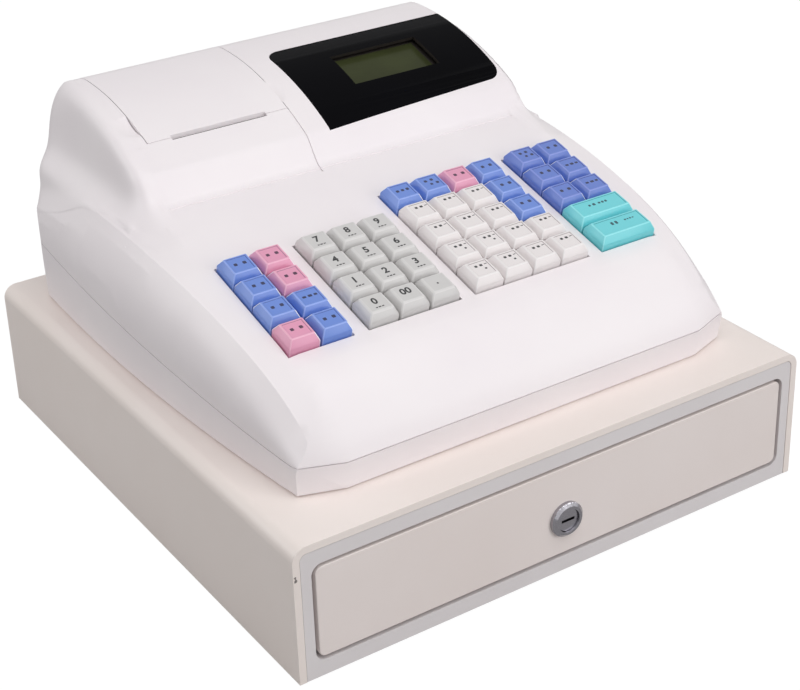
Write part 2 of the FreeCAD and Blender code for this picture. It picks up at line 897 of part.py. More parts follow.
def on_deck(shape):
    """Moves a shape drawn flat at the front key row on to the sloping deck."""
    placed = shape.copy()
    placed.rotate(vec(0, 0, 0), x_axis, deck_angle)
    placed.translate(vec(0, front_row_place, deck_z(front_row_place)))
    return placed


def block_box(block, grow, z0, z1):
    half = key_pitch / 2 + grow
    x0 = block_start(block)
    x1 = x0 + (block_columns[block] - 1) * key_pitch
    y1 = (block_rows[block] - 1) * key_pitch
    return box(x0 - half, x1 + half, -half, y1 + half, z0, z1)


def key_wells():
    blocks = range(len(block_columns))
    wells = [on_deck(block_box(b, well_margin, -plate_drop, key_rise)) for b in blocks]
    rim = well_margin + collar_wall
    collars = [on_deck(block_box(b, rim, -collar_depth, -case_wall / 2)) for b in blocks]
    return collars, wells


def plate_posts():
    posts = []
    half = post_width / 2
    back_row = (max(block_rows) - 1) * key_pitch
    for block in range(1, len(block_columns)):
        x = block_start(block) - block_step / 2
        for y in (0, back_row):
            posts.append(on_deck(box(x - half, x + half, y - half, y + half, -plate_drop, -case_wall / 2)))
    return posts


def keyboard_plate():
    half = block_start(len(block_columns) - 1) + key_pitch * (block_columns[-1] - 1 / 2) + plate_margin
    y0 = -key_pitch / 2 - plate_margin
    y1 = (max(block_rows) - 1 / 2) * key_pitch + plate_margin
    return on_deck(box(-half, half, y0, y1, -plate_drop - plate_thickness, -plate_drop))


# Keys

def rectangle(x0, x1, y0, y1, z):
    return [vec(x0, y0, z), vec(x1, y0, z), vec(x1, y1, z), vec(x0, y1, z)]


def stacked_solid(levels):
    """Solid with flat sides through four-cornered outlines from the bottom to the top."""
    faces = [Part.Face(Part.makePolygon(level + level[:1])) for level in (levels[0], levels[-1])]
    for low, high in zip(levels, levels[1:]):
        for i in range(len(low)):
            j = (i + 1) % len(low)
            faces.append(Part.Face(Part.makePolygon([low[i], low[j], high[j], high[i], low[i]])))
    solid = Part.makeSolid(Part.makeShell(faces))
    return solid if solid.Volume > 0 else solid.reversed()


def key_cap(block, column, row, columns):
    """One cap: straight skirt, then four flat slopes up to the smaller top."""
    half = (key_pitch - key_gap) / 2
    x0 = block_start(block) + column * key_pitch - half
    x1 = x0 + (columns - 1) * key_pitch + half * 2
    y0 = row * key_pitch - half
    y1 = y0 + half * 2
    side = (key_pitch - key_gap - key_top_width) / 2
    slope = (key_pitch - key_gap - key_top_depth) / 2
    top = rectangle(x0 + side, x1 - side, y0 + slope, y1 - slope, key_rise)
    foot = rectangle(x0, x1, y0, y1, -key_sink)
    shoulder = rectangle(x0, x1, y0, y1, key_skirt_rise)
    return on_deck(stacked_solid([foot, shoulder, top]))


left_block, number_block, middle_block, right_block = range(len(block_columns))
number_rows = (("0", "00", "point"), ("1", "2", "3"), ("4", "5", "6"), ("7", "8", "9"))


def key_nodes():
    """Names each key or row of joined keys with its caps as block, column, row, columns."""
    nodes = {}
    for row in range(block_rows[left_block]):
        for column in range(block_columns[left_block]):
            name = "left_key_row" + str(row + 1) + "_" + "ab"[column]
            nodes[name] = [(left_block, column, row, 1)]
    for row, labels in enumerate(number_rows):
        for column, label in enumerate(labels):
            nodes["number_key_" + label] = [(number_block, column, row, 1)]
    for row, count in enumerate((4, 4, 3, 3)):
        nodes["white_keys_row" + str(row + 1)] = [(middle_block, c, row, 1) for c in range(count)]
    nodes["middle_keys_right"] = [(middle_block, 3, row, 1) for row in (2, 3, 4)]
    nodes["middle_keys_back"] = [(middle_block, c, 4, 1) for c in (0, 1)]
    nodes["middle_key_pink"] = [(middle_block, 2, 4, 1)]
    for column, side in enumerate(("left", "right")):
        nodes["right_keys_" + side] = [(right_block, column, row, 1) for row in (2, 3, 4)]
    for row, side in enumerate(("front", "rear")):
        nodes["wide_key_" + side] = [(right_block, 0, row, 2)]
    return nodes


# Printer bay, cover and mechanism

def hump_top_z(y):
    """Height of the hump's surface on the arc over its middle or on the arc at its rear."""
    if y > hump_top_place:
        centre_z = hump_top_height - hump_rear_radius
        return cabinet_top + centre_z + math.sqrt(hump_rear_radius ** 2 - (y - hump_top_place) ** 2)
    brow = vec(0, hump_brow_place, hump_brow_height)
    middle = vec(0, hump_middle_place, hump_middle_height)
    top = vec(0, hump_top_place, hump_top_height)
    centre = arc_centre(brow, middle, top)
    radius = (top - centre).Length
    return cabinet_top + centre.z + math.sqrt(radius ** 2 - (y - centre.y) ** 2)


hinge_z = hump_top_z(cover_hinge_place) - cover_hinge_radius
hump_top = cabinet_top + hump_top_height
bay_floor = hump_top - bay_depth
mechanism_floor = hump_top - mechanism_bay_depth
bay_rear = cover_hinge_place + cover_hinge_radius + hinge_gap


def bay_box(grow, z1):
    """Space for the paper roll, with the shallower space for the mechanism before it."""
    x0 = cover_left - cover_gap - grow
    x1 = cover_right + cover_gap + grow
    y0 = cover_front - cover_gap - grow
    roll = box(x0, x1, mechanism_bay_rear - grow, bay_rear + grow, bay_floor - grow, z1)
    roll = rounded(roll, bay_round, edges_along(roll, x_axis, lambda p: p.z < mechanism_floor))
    shelf = box(x0, x1, y0, mechanism_bay_rear + grow, mechanism_floor - grow, z1)
    return roll.fuse(shelf)


def bay_opening():
    """Cutter for the bay, the cover's hole in the skin and the room for its hinge."""
    x0 = cover_left - cover_gap
    x1 = cover_right + cover_gap
    skin = box(x0, x1, cover_front - cover_gap, cover_hinge_place, mechanism_floor, hump_top + overrun)
    low = bay_box(0, hinge_z - cover_hinge_radius)
    barrel_room = rod(cover_hinge_radius + hinge_gap, vec(x0, cover_hinge_place, hinge_z),
                      vec(x1, cover_hinge_place, hinge_z))
    reach = hinge_pin_length + hinge_gap
    pin_room = rod(hinge_pin_radius + hinge_fit, vec(x0 - reach, cover_hinge_place, hinge_z),
                   vec(x1 + reach, cover_hinge_place, hinge_z))
    return fused([skin, low, barrel_room, pin_room])


def paper_slot():
    middle = cover_front - cover_gap / 2
    half = paper_slot_width / 2
    return box(paper_slot_left, paper_slot_right, middle - half, middle + half,
               mechanism_floor + mechanism_side_height, hump_top + overrun)


def printer_cover():
    x0, x1 = cover_left, cover_right
    plate = box(x0, x1, cover_front, cover_hinge_place, mechanism_floor, hump_top + overrun)
    plate = plate.common(hump_form(0)).cut(hump_form(cover_thickness))
    rib_x = x0 + cover_rib_inset
    rib = box(rib_x, rib_x + cover_rib_sheet, cover_front + cover_rib_inset, cover_hinge_place,
              mechanism_floor, hump_top + overrun)
    rib = rib.common(hump_form(cover_thickness / 2)).cut(hump_form(cover_thickness + cover_rib_depth))
    other_rib = rib.copy()
    other_rib.translate(x_axis * (x1 - x0 - cover_rib_inset * 2 - cover_rib_sheet))
    barrel = rod(cover_hinge_radius, vec(x0, cover_hinge_place, hinge_z), vec(x1, cover_hinge_place, hinge_z))
    pin = rod(hinge_pin_radius, vec(x0 - hinge_pin_length, cover_hinge_place, hinge_z),
              vec(x1 + hinge_pin_length, cover_hinge_place, hinge_z))
    return fused([plate, rib, other_rib, barrel, pin]).cut(paper_slot())


platen_z = mechanism_floor + platen_rise


def printer_mechanism():
    y0, y1 = mechanism_front, mechanism_front + mechanism_depth
    x0, x1 = mechanism_left, mechanism_right
    base = box(x0, x1, y0, y1, mechanism_floor, mechanism_floor + mechanism_base)
    cheek = box(x0, x0 + mechanism_side, y0, y1, mechanism_floor, mechanism_floor + mechanism_side_height)
    other = box(x1 - mechanism_side, x1, y0, y1, mechanism_floor, mechanism_floor + mechanism_side_height)
    head = box(x0, x1, y1 - print_head_depth, y1, mechanism_floor, mechanism_floor + print_head_height)
    reach = x_axis * overrun
    bore = rod(platen_shaft_radius + platen_fit, vec(x0, platen_place, platen_z) - reach,
               vec(x1, platen_place, platen_z) + reach)
    return fused([base, cheek, other, head]).cut(bore)


def platen_roller():
    def along(radius, start, end):
        return rod(radius, vec(start, platen_place, platen_z), vec(end, platen_place, platen_z))

    gear_start = mechanism_right + platen_end_gap
    gear_end = gear_start + platen_gear_width
    inner = mechanism_side + platen_end_gap
    roller = along(platen_radius, mechanism_left + inner, mechanism_right - inner)
    shaft = along(platen_shaft_radius, mechanism_left, gear_end)
    return fused([roller, shaft, along(platen_gear_radius, gear_start, gear_end)])


# Display

def window_prism(grow):
    x0, x1 = window_left - grow, window_right + grow
    y0, y1 = window_front - grow, window_rear + grow
    right_front = y0 + window_front_slant
    points = [vec(x, y, bay_floor) for x, y in ((x0, y0), (x1, right_front), (x1, y1), (x0, y1))]
    prism_shape = polygon_prism(points, z_axis * (hump_top - bay_floor + overrun))
    middle_x, middle_y = (x0 + x1) / 2, (y0 + y1) / 2
    big = edges_along(prism_shape, z_axis, lambda p: (p.x > middle_x) != (p.y > middle_y))
    prism_shape = rounded(prism_shape, window_round + max(grow, 0), big)
    small = edges_along(prism_shape, z_axis, lambda p: p.x > x1 - overrun and p.y > y1 - overrun)
    return rounded(prism_shape, window_small_round + max(grow, 0), small)


def display_window():
    return case_shape.common(window_prism(0)).cut(hump_form(window_thickness))


def window_ledge_ring():
    outer = window_prism(window_gap + bay_wall)
    skin = hump_form(window_thickness + rod_fit).cut(hump_form(window_thickness + ledge_thickness))
    return outer.common(skin)


def display_module():
    """Board across the underside of the ledge with the display block standing on it."""
    drop = window_thickness + ledge_thickness + display_board_gap
    y0, y1 = window_front + window_front_slant + window_ledge, window_rear - window_ledge
    z0, z1 = hump_top_z(y0) - drop, hump_top_z(y1) - drop
    lean = math.degrees(math.atan2(z1 - z0, y1 - y0))
    length = math.hypot(z1 - z0, y1 - y0)
    x0, x1 = window_left + bay_wall, window_right - window_ledge
    board = box(x0, x1, 0, length, -display_board_thickness, 0)
    lean_radians = math.radians(lean)
    lcd_y0 = (lcd_front - lcd_border - y0) / math.cos(lean_radians)
    lcd_y1 = (lcd_rear + lcd_border - y0) / math.cos(lean_radians)
    rise = drop - window_thickness - lcd_clearance
    lcd = box(lcd_left - lcd_border, lcd_right + lcd_border, lcd_y0, lcd_y1, -display_board_thickness, rise)
    module = fused([board, lcd])
    module.rotate(vec(0, 0, 0), x_axis, lean)
    module.translate(vec(0, y0, z0))
    return module


# Case halves

def below_parting(drop, depth):
    """Slab of the given depth under the sloping joint between the two halves of the case."""
    far = cabinet_depth + overrun
    half = cabinet_half
    points = [vec(-half, 0, parting_z(0) - drop - depth), vec(-half, far, parting_z(far) - drop - depth),
              vec(-half, far, parting_z(far) - drop), vec(-half, 0, parting_z(0) - drop)]
    return polygon_prism(points, x_axis * cabinet_width)


def boss_places():
    right = ((front_boss_x, front_boss_y), (rear_boss_x, rear_boss_y))
    return [(side * x, y) for side in (-1, 1) for x, y in right]


boss_joint = cabinet_top + boss_joint_height


def upper_bosses():
    bosses = [faceted_rod(boss_radius, vec(x, y, boss_joint), vec(x, y, hump_top)) for x, y in boss_places()]
    pilots = [faceted_rod(screw_shank_radius + screw_fit, vec(x, y, boss_joint - overrun),
                          vec(x, y, boss_joint + screw_length)) for x, y in boss_places()]
    return [b.common(case_hollow) for b in bosses], pilots


def scoop(x, reach, depth, grow):
    """Ball that sinks a shallow finger recess of the given reach and depth in the hump beside the cover."""
    brow = vec(0, hump_brow_place, hump_brow_height)
    middle = vec(0, hump_middle_place, hump_middle_height)
    top = vec(0, hump_top_place, hump_top_height)
    centre = arc_centre(brow, middle, top) + z_axis * cabinet_top
    surface = vec(0, scoop_place, hump_top_z(scoop_place))
    radius = (reach ** 2 + depth ** 2) / (2 * depth)
    ball = surface + (surface - centre).normalize() * (radius - depth)
    return Part.makeSphere(radius + grow, ball + x_axis * x)


def scoops(grow):
    left = scoop(cover_left - cover_gap, left_scoop_reach, left_scoop_depth, grow)
    right = scoop(cover_right - right_scoop_inset, right_scoop_reach, right_scoop_depth, grow)
    return [left, right]


def front_seam():
    """Groove that carries the cover's right seam down the front of the hump."""
    x = cover_right + cover_gap / 2
    strip = box(x - seam_width / 2, x + seam_width / 2, hump_foot_place, cover_front, bay_floor, hump_top)
    return strip.cut(hump_form(seam_depth))


def upper_case():
    shell = case_shape.cut(case_hollow)
    collars, wells = key_wells()
    bosses, pilots = upper_bosses()
    bucket = bay_box(bay_wall, hump_top).common(hump_form(case_wall / 2))
    pads = [pad.common(hump_form(case_wall / 2)) for pad in scoops(scoop_backing)]
    shell = shell.fuse(collars + plate_posts() + bosses + pads + [bucket, window_ledge_ring()])
    shell = shell.cut(wells + pilots + [bay_opening(), paper_slot(), front_seam()])
    shell = shell.cut(scoops(0))
    shell = shell.cut([window_prism(window_gap).cut(hump_form(window_thickness + rod_fit)),
                       window_prism(-window_ledge)])
    far = cabinet_height * 2
    shell = shell.cut(below_parting(0, far))
    return shell.cut(rebate.common(below_parting(-tongue_height - tongue_gap, far)).cut(case_hollow))


def lower_case():
    far = cabinet_height * 2
    floor_room = case_hollow.common(box(-cabinet_width, cabinet_width, 0, cabinet_depth * 2,
                                        cabinet_top + case_wall, hump_top + overrun))
    tub = case_shape.common(below_parting(seam_gap, far)).cut(floor_room)
    tongue = tongue_outer.cut(case_hollow).common(below_parting(-tongue_height, far))
    floor_z = cabinet_top + case_wall / 2
    posts = []
    drills = []
    for x, y in boss_places():
        posts.append(faceted_rod(boss_radius, vec(x, y, floor_z), vec(x, y, boss_joint)))
        drills.append(faceted_rod(screw_shank_radius + screw_fit * 2, vec(x, y, cabinet_top - overrun),
                                  vec(x, y, boss_joint + overrun)))
        drills.append(faceted_rod(screw_head_radius + screw_fit * 2, vec(x, y, cabinet_top - overrun),
                                  vec(x, y, cabinet_top + screw_recess + screw_head_height)))
    for x, y in board_corners():
        posts.append(faceted_rod(standoff_radius, vec(x, y, floor_z), vec(x, y, board_z)))
    return tub.fuse([tongue] + posts).cut(drills + socket_holes())


board_z = cabinet_top + case_wall + board_standoff
board_rear = cabinet_depth - case_wall - connector_fit


def board_corners():
    inset = standoff_radius
    x = board_half_width - inset
    return [(side * x, y) for side in (-1, 1) for y in (board_front + inset, board_rear - inset)]


def socket_box(x, grow, y1):
    half = connector_width / 2 + grow
    z0 = board_z + board_thickness
    return box(x - half, x + half, board_rear - connector_depth_inside, y1,
               z0 - grow, z0 + connector_height + grow)


def socket_holes():
    return [socket_box(x, connector_fit, cabinet_depth + overrun) for x in (power_socket_x, data_socket_x)]


def main_board():
    board = box(-board_half_width, board_half_width, board_front, board_rear,
                board_z, board_z + board_thickness)
    sockets = []
    for x in (power_socket_x, data_socket_x):
        body = socket_box(x, 0, cabinet_depth - frame_recess)
        mouth = socket_box(x, -bay_wall, cabinet_depth + overrun)
        mouth.translate(y_axis * bay_wall)
        sockets.append(body.cut(mouth))
    return fused([board] + sockets)


def case_screws():
    screws = []
    for x, y in boss_places():
        z0 = cabinet_top + screw_recess
        head = faceted_rod(screw_head_radius, vec(x, y, z0), vec(x, y, z0 + screw_head_height))
        shank = faceted_rod(screw_shank_radius, vec(x, y, z0 + screw_head_height),
                            vec(x, y, z0 + screw_length))
        screws.append(fused([head, shank]))
    return Part.makeCompound(screws)


def main():
    os.makedirs("parts", exist_ok=True)
    write("cabinet_cover", cabinet_cover())
    write("cabinet_base", cabinet_base())
    write("front_frame", front_frame())
    write("rubber_feet", rubber_feet())
    write("cabinet_runners", cabinet_runners())
    write("drawer_buffers", drawer_buffers())
    write("drawer_runners", drawer_runners())
    write("drawer_front", drawer_front())
    write("drawer_box", drawer_box())
    write("cash_tray", cash_tray())
    write("clip_rod", clip_rod())
    for side, x in zip(("left", "middle", "right"), bay_centres()):
        write("bill_clip_" + side, bill_clip(x))
    write("lock_barrel", lock_barrel())
    write("lock_plug", lock_plug())
    write("lock_cam", lock_cam())
    write("drawer_latch", drawer_latch())
    write("release_solenoid", release_solenoid())
    write("upper_case", upper_case())
    write("lower_case", lower_case())
    write("printer_cover", printer_cover())
    write("printer_mechanism", printer_mechanism())
    write("platen_roller", platen_roller())
    write("display_window", display_window())
    write("display_module", display_module())
    write("keyboard_plate", keyboard_plate())
    write("main_board", main_board())
    write("case_screws", case_screws())
    for name, caps in key_nodes().items():
        write(name, Part.makeCompound([key_cap(*cap) for cap in caps]))


main()
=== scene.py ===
import json
import math

import bmesh
import bpy
from mathutils import Matrix, Vector

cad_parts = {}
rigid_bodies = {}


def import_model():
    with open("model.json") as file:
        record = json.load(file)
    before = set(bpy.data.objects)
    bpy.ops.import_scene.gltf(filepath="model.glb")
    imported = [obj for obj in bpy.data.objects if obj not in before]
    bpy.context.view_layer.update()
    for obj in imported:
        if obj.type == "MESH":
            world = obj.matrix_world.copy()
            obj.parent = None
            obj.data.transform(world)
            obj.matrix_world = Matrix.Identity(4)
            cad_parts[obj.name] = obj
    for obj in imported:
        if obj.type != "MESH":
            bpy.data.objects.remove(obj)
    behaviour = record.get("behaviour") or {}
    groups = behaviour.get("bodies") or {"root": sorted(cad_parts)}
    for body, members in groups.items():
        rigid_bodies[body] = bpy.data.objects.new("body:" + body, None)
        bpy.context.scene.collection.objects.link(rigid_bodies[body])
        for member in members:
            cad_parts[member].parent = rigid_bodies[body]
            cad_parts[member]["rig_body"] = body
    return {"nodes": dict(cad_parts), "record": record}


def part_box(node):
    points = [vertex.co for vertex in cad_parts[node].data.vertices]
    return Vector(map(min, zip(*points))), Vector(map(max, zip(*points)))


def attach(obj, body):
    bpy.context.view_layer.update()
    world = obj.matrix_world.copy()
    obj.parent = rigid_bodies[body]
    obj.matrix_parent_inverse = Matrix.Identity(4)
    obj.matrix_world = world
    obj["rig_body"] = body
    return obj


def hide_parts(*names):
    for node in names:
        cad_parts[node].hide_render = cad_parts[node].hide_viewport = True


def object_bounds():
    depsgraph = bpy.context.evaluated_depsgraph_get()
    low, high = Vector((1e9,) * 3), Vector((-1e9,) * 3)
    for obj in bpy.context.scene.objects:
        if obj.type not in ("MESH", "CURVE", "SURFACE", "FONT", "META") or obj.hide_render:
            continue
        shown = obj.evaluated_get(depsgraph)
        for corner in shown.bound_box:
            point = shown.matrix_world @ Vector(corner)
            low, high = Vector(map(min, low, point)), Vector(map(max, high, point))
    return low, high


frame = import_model()
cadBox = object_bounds()
millimetre = 0.001
print("frame loaded:", len(frame["nodes"]), "nodes")

# camera solved from the straight edges of the cabinet and the key rows
shot = {
    "place": (-0.4898, -0.77983, 0.5610),
    "azimuth": -33.21,
    "tiltDown": 26.73,
    "roll": -1.707,
    "lens": 80.57,
    "sensor": 36.0,
    "shift": (-0.0151, -0.0665),
}


def placeCamera(shot):
    azimuth, tilt, roll = (math.radians(shot[key]) for key in ("azimuth", "tiltDown", "roll"))
    forward = Vector((-math.sin(azimuth) * math.cos(tilt), math.cos(azimuth) * math.cos(tilt),
                      -math.sin(tilt)))
    level = forward.cross(Vector((0, 0, 1))).normalized()
    upright = level.cross(forward)
    right = level * math.cos(roll) + upright * math.sin(roll)
    up = upright * math.cos(roll) - level * math.sin(roll)
    data = bpy.data.cameras.new("camera")
    data.lens = shot["lens"]
    data.sensor_width = shot["sensor"]
    data.shift_x, data.shift_y = shot["shift"]
    data.clip_end = 20
    camera = bpy.data.objects.new("camera", data)
    turned = Matrix((right, up, -forward)).transposed().to_4x4()
    camera.matrix_world = Matrix.Translation(shot["place"]) @ turned
    bpy.context.scene.collection.objects.link(camera)
    bpy.context.scene.camera = camera


placeCamera(shot)


def linearColour(hexText):
    shares = [int(hexText[k:k + 2], 16) / 255 for k in (1, 3, 5)]
    return [c / 12.92 if c <= 0.04045 else ((c + 0.055) / 1.055) ** 2.4 for c in shares] + [1]


def newMaterial(name):
    material = bpy.data.materials.new(name)
    material.use_nodes = True
    return material, material.node_tree.nodes["Principled BSDF"]


def addNode(material, kind, settings, links):
    node = material.node_tree.nodes.new("ShaderNode" + kind)
    for name, value in settings.items():
        if isinstance(name, int) or name in node.inputs:
            node.inputs[name].default_value = value
        else:
            setattr(node, name, value)
    for name, socket in links.items():
        material.node_tree.links.new(socket, node.inputs[name])
    return node


def setShader(material, shader, values, links):
    for name, value in values.items():
        shader.inputs[name].default_value = value
    for name, socket in links.items():
        material.node_tree.links.new(socket, shader.inputs[name])


def twoTone(material, look, factor):
    tone = addNode(material, "ValToRGB", {}, {"Fac": factor})
    tone.color_ramp.elements[0].position = 0.3
    tone.color_ramp.elements[0].color = linearColour(look["shade"])
    tone.color_ramp.elements[1].position = 0.7
    tone.color_ramp.elements[1].color = linearColour(look["colour"])
    return tone.outputs["Color"]


def unevenShine(material, roughness, spread, factor):
    rough = addNode(material, "MapRange", {"To Min": roughness - spread, "To Max": roughness + spread},
                    {"Value": factor})
    return rough.outputs["Result"]


def mouldedPlastic(name, look):
    # injection-moulded ABS: one colour right through, a fine spark-eroded grain that softens its shine
    material, shader = newMaterial(name)
    place = addNode(material, "TexCoord", {}, {}).outputs["Object"]
    grain = addNode(material, "TexNoise",
                    {"Scale": 1 / (look["grain"] * millimetre), "Detail": 2, "Roughness": 0.6},
                    {"Vector": place})
    cloud = addNode(material, "TexNoise", {"Scale": 1 / (look["cloud"] * millimetre), "Detail": 3},
                    {"Vector": place})
    rough = unevenShine(material, look["roughness"], 0.04, cloud.outputs["Fac"])
    bump = addNode(material, "Bump", {"Strength": look["bump"], "Distance": look["depth"] * millimetre},
                   {"Height": grain.outputs["Fac"]})
    setShader(material, shader, {"IOR": 1.53, "Specular IOR Level": look.get("gloss", 0.5)},
              {"Base Color": twoTone(material, look, cloud.outputs["Fac"]),
               "Roughness": rough, "Normal": bump.outputs["Normal"]})
    return material


def paintedSteel(name, look):
    # stoved enamel on sheet steel: smooth and satin, with the low waves of orange peel
    material, shader = newMaterial(name)
    place = addNode(material, "TexCoord", {}, {}).outputs["Object"]
    peel = addNode(material, "TexNoise", {"Scale": 1 / (look["peel"] * millimetre), "Detail": 1},
                   {"Vector": place})
    cloud = addNode(material, "TexNoise", {"Scale": 1 / (look["cloud"] * millimetre), "Detail": 3},
                    {"Vector": place})
    colour = twoTone(material, look, cloud.outputs["Fac"])
    if "chips" in look:
        colour = addChips(material, look["chips"], place, colour)
    bump = addNode(material, "Bump", {"Strength": look["bump"], "Distance": look["depth"] * millimetre},
                   {"Height": peel.outputs["Fac"]})
    setShader(material, shader, {"IOR": 1.5, "Roughness": look["roughness"]},
              {"Base Color": colour, "Normal": bump.outputs["Normal"]})
    return material


def addChips(material, chips, place, colour):
    # paint knocked off a corner: small ragged spots of dull primer inside a short length of the edge
    away = addNode(material, "VectorMath", {"operation": "SUBTRACT", 1: chips["place"]}, {0: place})
    shrunk = addNode(material, "VectorMath", {"operation": "DIVIDE", 1: chips["reach"]},
                     {0: away.outputs["Vector"]})
    span = addNode(material, "VectorMath", {"operation": "LENGTH"}, {0: shrunk.outputs["Vector"]})
    ragged = addNode(material, "TexNoise", {"Scale": 1 / (chips["grit"] * millimetre), "Detail": 3},
                     {"Vector": place})
    inside = addNode(material, "MapRange", {"From Min": 1.0, "From Max": 0.0, "To Min": 0.0, "To Max": 1.0},
                     {"Value": span.outputs["Value"]})
    mask = addNode(material, "Math", {"operation": "MULTIPLY"},
                   {0: inside.outputs["Result"], 1: ragged.outputs["Fac"]})
    edge = addNode(material, "MapRange", {"From Min": chips["cut"], "From Max": chips["cut"] + chips["blur"]},
                   {"Value": mask.outputs[0]})
    mixed = addNode(material, "MixRGB", {"Color2": linearColour(chips["colour"])},
                    {"Fac": edge.outputs["Result"], "Color1": colour})
    return mixed.outputs["Color"]


def platedMetal(name, look):
    # plated sheet or turned part: grey metal with faint rolled streaks along the strip
    material, shader = newMaterial(name)
    place = addNode(material, "TexCoord", {}, {}).outputs["Object"]
    along = addNode(material, "Mapping", {"Scale": look["run"]}, {"Vector": place})
    streak = addNode(material, "TexNoise", {"Scale": 1 / (look["streak"] * millimetre), "Detail": 3},
                     {"Vector": along.outputs["Vector"]})
    rough = unevenShine(material, look["roughness"], 0.06, streak.outputs["Fac"])
    setShader(material, shader, {"Metallic": 1.0},
              {"Base Color": twoTone(material, look, streak.outputs["Fac"]), "Roughness": rough})
    return material


def mouldedRubber(name, look):
    # moulded rubber: matt, with a dusty bloom that varies over it
    material, shader = newMaterial(name)
    place = addNode(material, "TexCoord", {}, {}).outputs["Object"]
    bloom = addNode(material, "TexNoise", {"Scale": 1 / (look["bloom"] * millimetre), "Detail": 4},
                    {"Vector": place})
    grit = addNode(material, "TexNoise", {"Scale": 1 / (look["grit"] * millimetre), "Detail": 2},
                   {"Vector": place})
    bump = addNode(material, "Bump", {"Strength": look["bump"], "Distance": look["depth"] * millimetre},
                   {"Height": grit.outputs["Fac"]})
    setShader(material, shader, {"Roughness": look["roughness"], "IOR": 1.52},
              {"Base Color": twoTone(material, look, bloom.outputs["Fac"]), "Normal": bump.outputs["Normal"]})
    return material


plasticGrain = {"roughness": 0.42, "grain": 0.5, "cloud": 60, "bump": 0.25, "depth": 0.02}
enamelSkin = {"roughness": 0.36, "peel": 1.6, "cloud": 90, "bump": 0.2, "depth": 0.03}
finishes = {
    "caseAbs": mouldedPlastic("case ABS", {**plasticGrain, "colour": "#F4EEF0", "shade": "#F1EAED"}),
    "trayAbs": mouldedPlastic("tray ABS", {**plasticGrain, "colour": "#2C2C2E", "shade": "#252527",
                              "roughness": 0.5, "grain": 0.7, "bump": 0.4, "depth": 0.04}),
    "clipAbs": mouldedPlastic("clip ABS", {**plasticGrain, "colour": "#38383B", "shade": "#303032",
                              "cloud": 20}),
    "mechanismAbs": mouldedPlastic("mechanism ABS", {**plasticGrain, "colour": "#232325", "shade": "#1C1C1E",
                                   "cloud": 20}),
    "boardLaminate": mouldedPlastic("board laminate", {**plasticGrain, "colour": "#1E5A34",
                                    "shade": "#194E2D", "grain": 1.2, "cloud": 15}),
    "windowAcrylic": mouldedPlastic("smoked window acrylic", {**plasticGrain, "colour": "#0B0B0E",
                                    "shade": "#0A0A0C", "roughness": 0.45, "gloss": 0.01,
                                    "grain": 40, "bump": 0.02}),
    "recessWall": mouldedPlastic("recess wall acrylic", {**plasticGrain, "colour": "#2E2A28",
                                 "shade": "#2A2624", "gloss": 0.1, "cloud": 8}),
    "displayGlass": mouldedPlastic("display glass", {**plasticGrain, "colour": "#3C4127", "shade": "#373B24",
                                   "roughness": 0.2, "gloss": 0.05, "grain": 20, "cloud": 20, "bump": 0.02}),
    "cabinetEnamel": paintedSteel("cabinet enamel", {**enamelSkin, "colour": "#F3E9E4", "shade": "#F0E5DF",
                                  "chips": {
                                  "place": (-0.1612, -0.1712, 0.0640), "reach": (0.0022, 0.0030, 0.0060),
                                  "grit": 1.2, "cut": 0.30, "blur": 0.04, "colour": "#77706E"}}),
    "frontEnamel": paintedSteel("front enamel", {**enamelSkin, "colour": "#EDE3E0", "shade": "#E9DEDA"}),
    "frameEnamel": paintedSteel("frame enamel", {**enamelSkin, "colour": "#E2DDDE", "shade": "#DED8D9",
                                "cloud": 60}),
    "zinc": platedMetal("zinc-plated steel", {"colour": "#C4C6CA", "shade": "#A9ABB0", "roughness": 0.36,
                        "streak": 0.8, "run": (1, 0.04, 1)}),
    "nickel": platedMetal("nickel-plated brass", {"colour": "#B4B2B8", "shade": "#9B999F", "roughness": 0.2,
                          "streak": 0.5, "run": (1, 1, 1)}),
    "rubber": mouldedRubber("foot rubber", {"colour": "#2A2A2B", "shade": "#1E1E1F", "bloom": 6, "grit": 0.4,
                            "bump": 0.3, "depth": 0.03, "roughness": 0.78}),
}

# moulded key caps: body, pale rim of a clear cap (a painted highlight), painted shadow line round the insert,
# printed ink, lit front edge (a painted highlight)
keyColours = {
    "blue": {"body": "#6889D6", "rim": "#EEF1FA", "line": "#465FA8", "ink": "#1C2450", "lit": "#8FA8EA"},
    "deepBlue": {"body": "#627DCB", "rim": "#DDE2F4", "line": "#45539A", "ink": "#1A2048", "lit": "#8797DC"},
    "pink": {"body": "#E29AB8", "rim": "#FAEEF4", "line": "#A9768E", "ink": "#4E2A44", "lit": "#EFB4CB"},
    "cyan": {"body": "#6ED2DA", "rim": "#8FE2E8", "line": "#3C9AA4", "ink": "#184C56", "lit": "#93E6EC"},
    "white": {"body": "#E8E2E2", "rim": "#F4F1F1", "line": "#A79E9F", "ink": "#2A282C", "lit": "#EFEBEB"},
    "grey": {"body": "#CDCBCA", "rim": "#CDCBCA", "line": "#C4C2C1", "ink": "#1A191D", "lit": "#D8D6D5"},
}
capGrain = {**plasticGrain, "roughness": 0.3, "grain": 0.4, "cloud": 12, "bump": 0.1, "depth": 0.01}
keyFinishes = {}
for shade, tints in keyColours.items():
    keyFinishes[shade] = [mouldedPlastic(shade + " key " + part, {**capGrain, "colour": tint, "shade": tint})
                          for part, tint in tints.items()]
print("materials made")

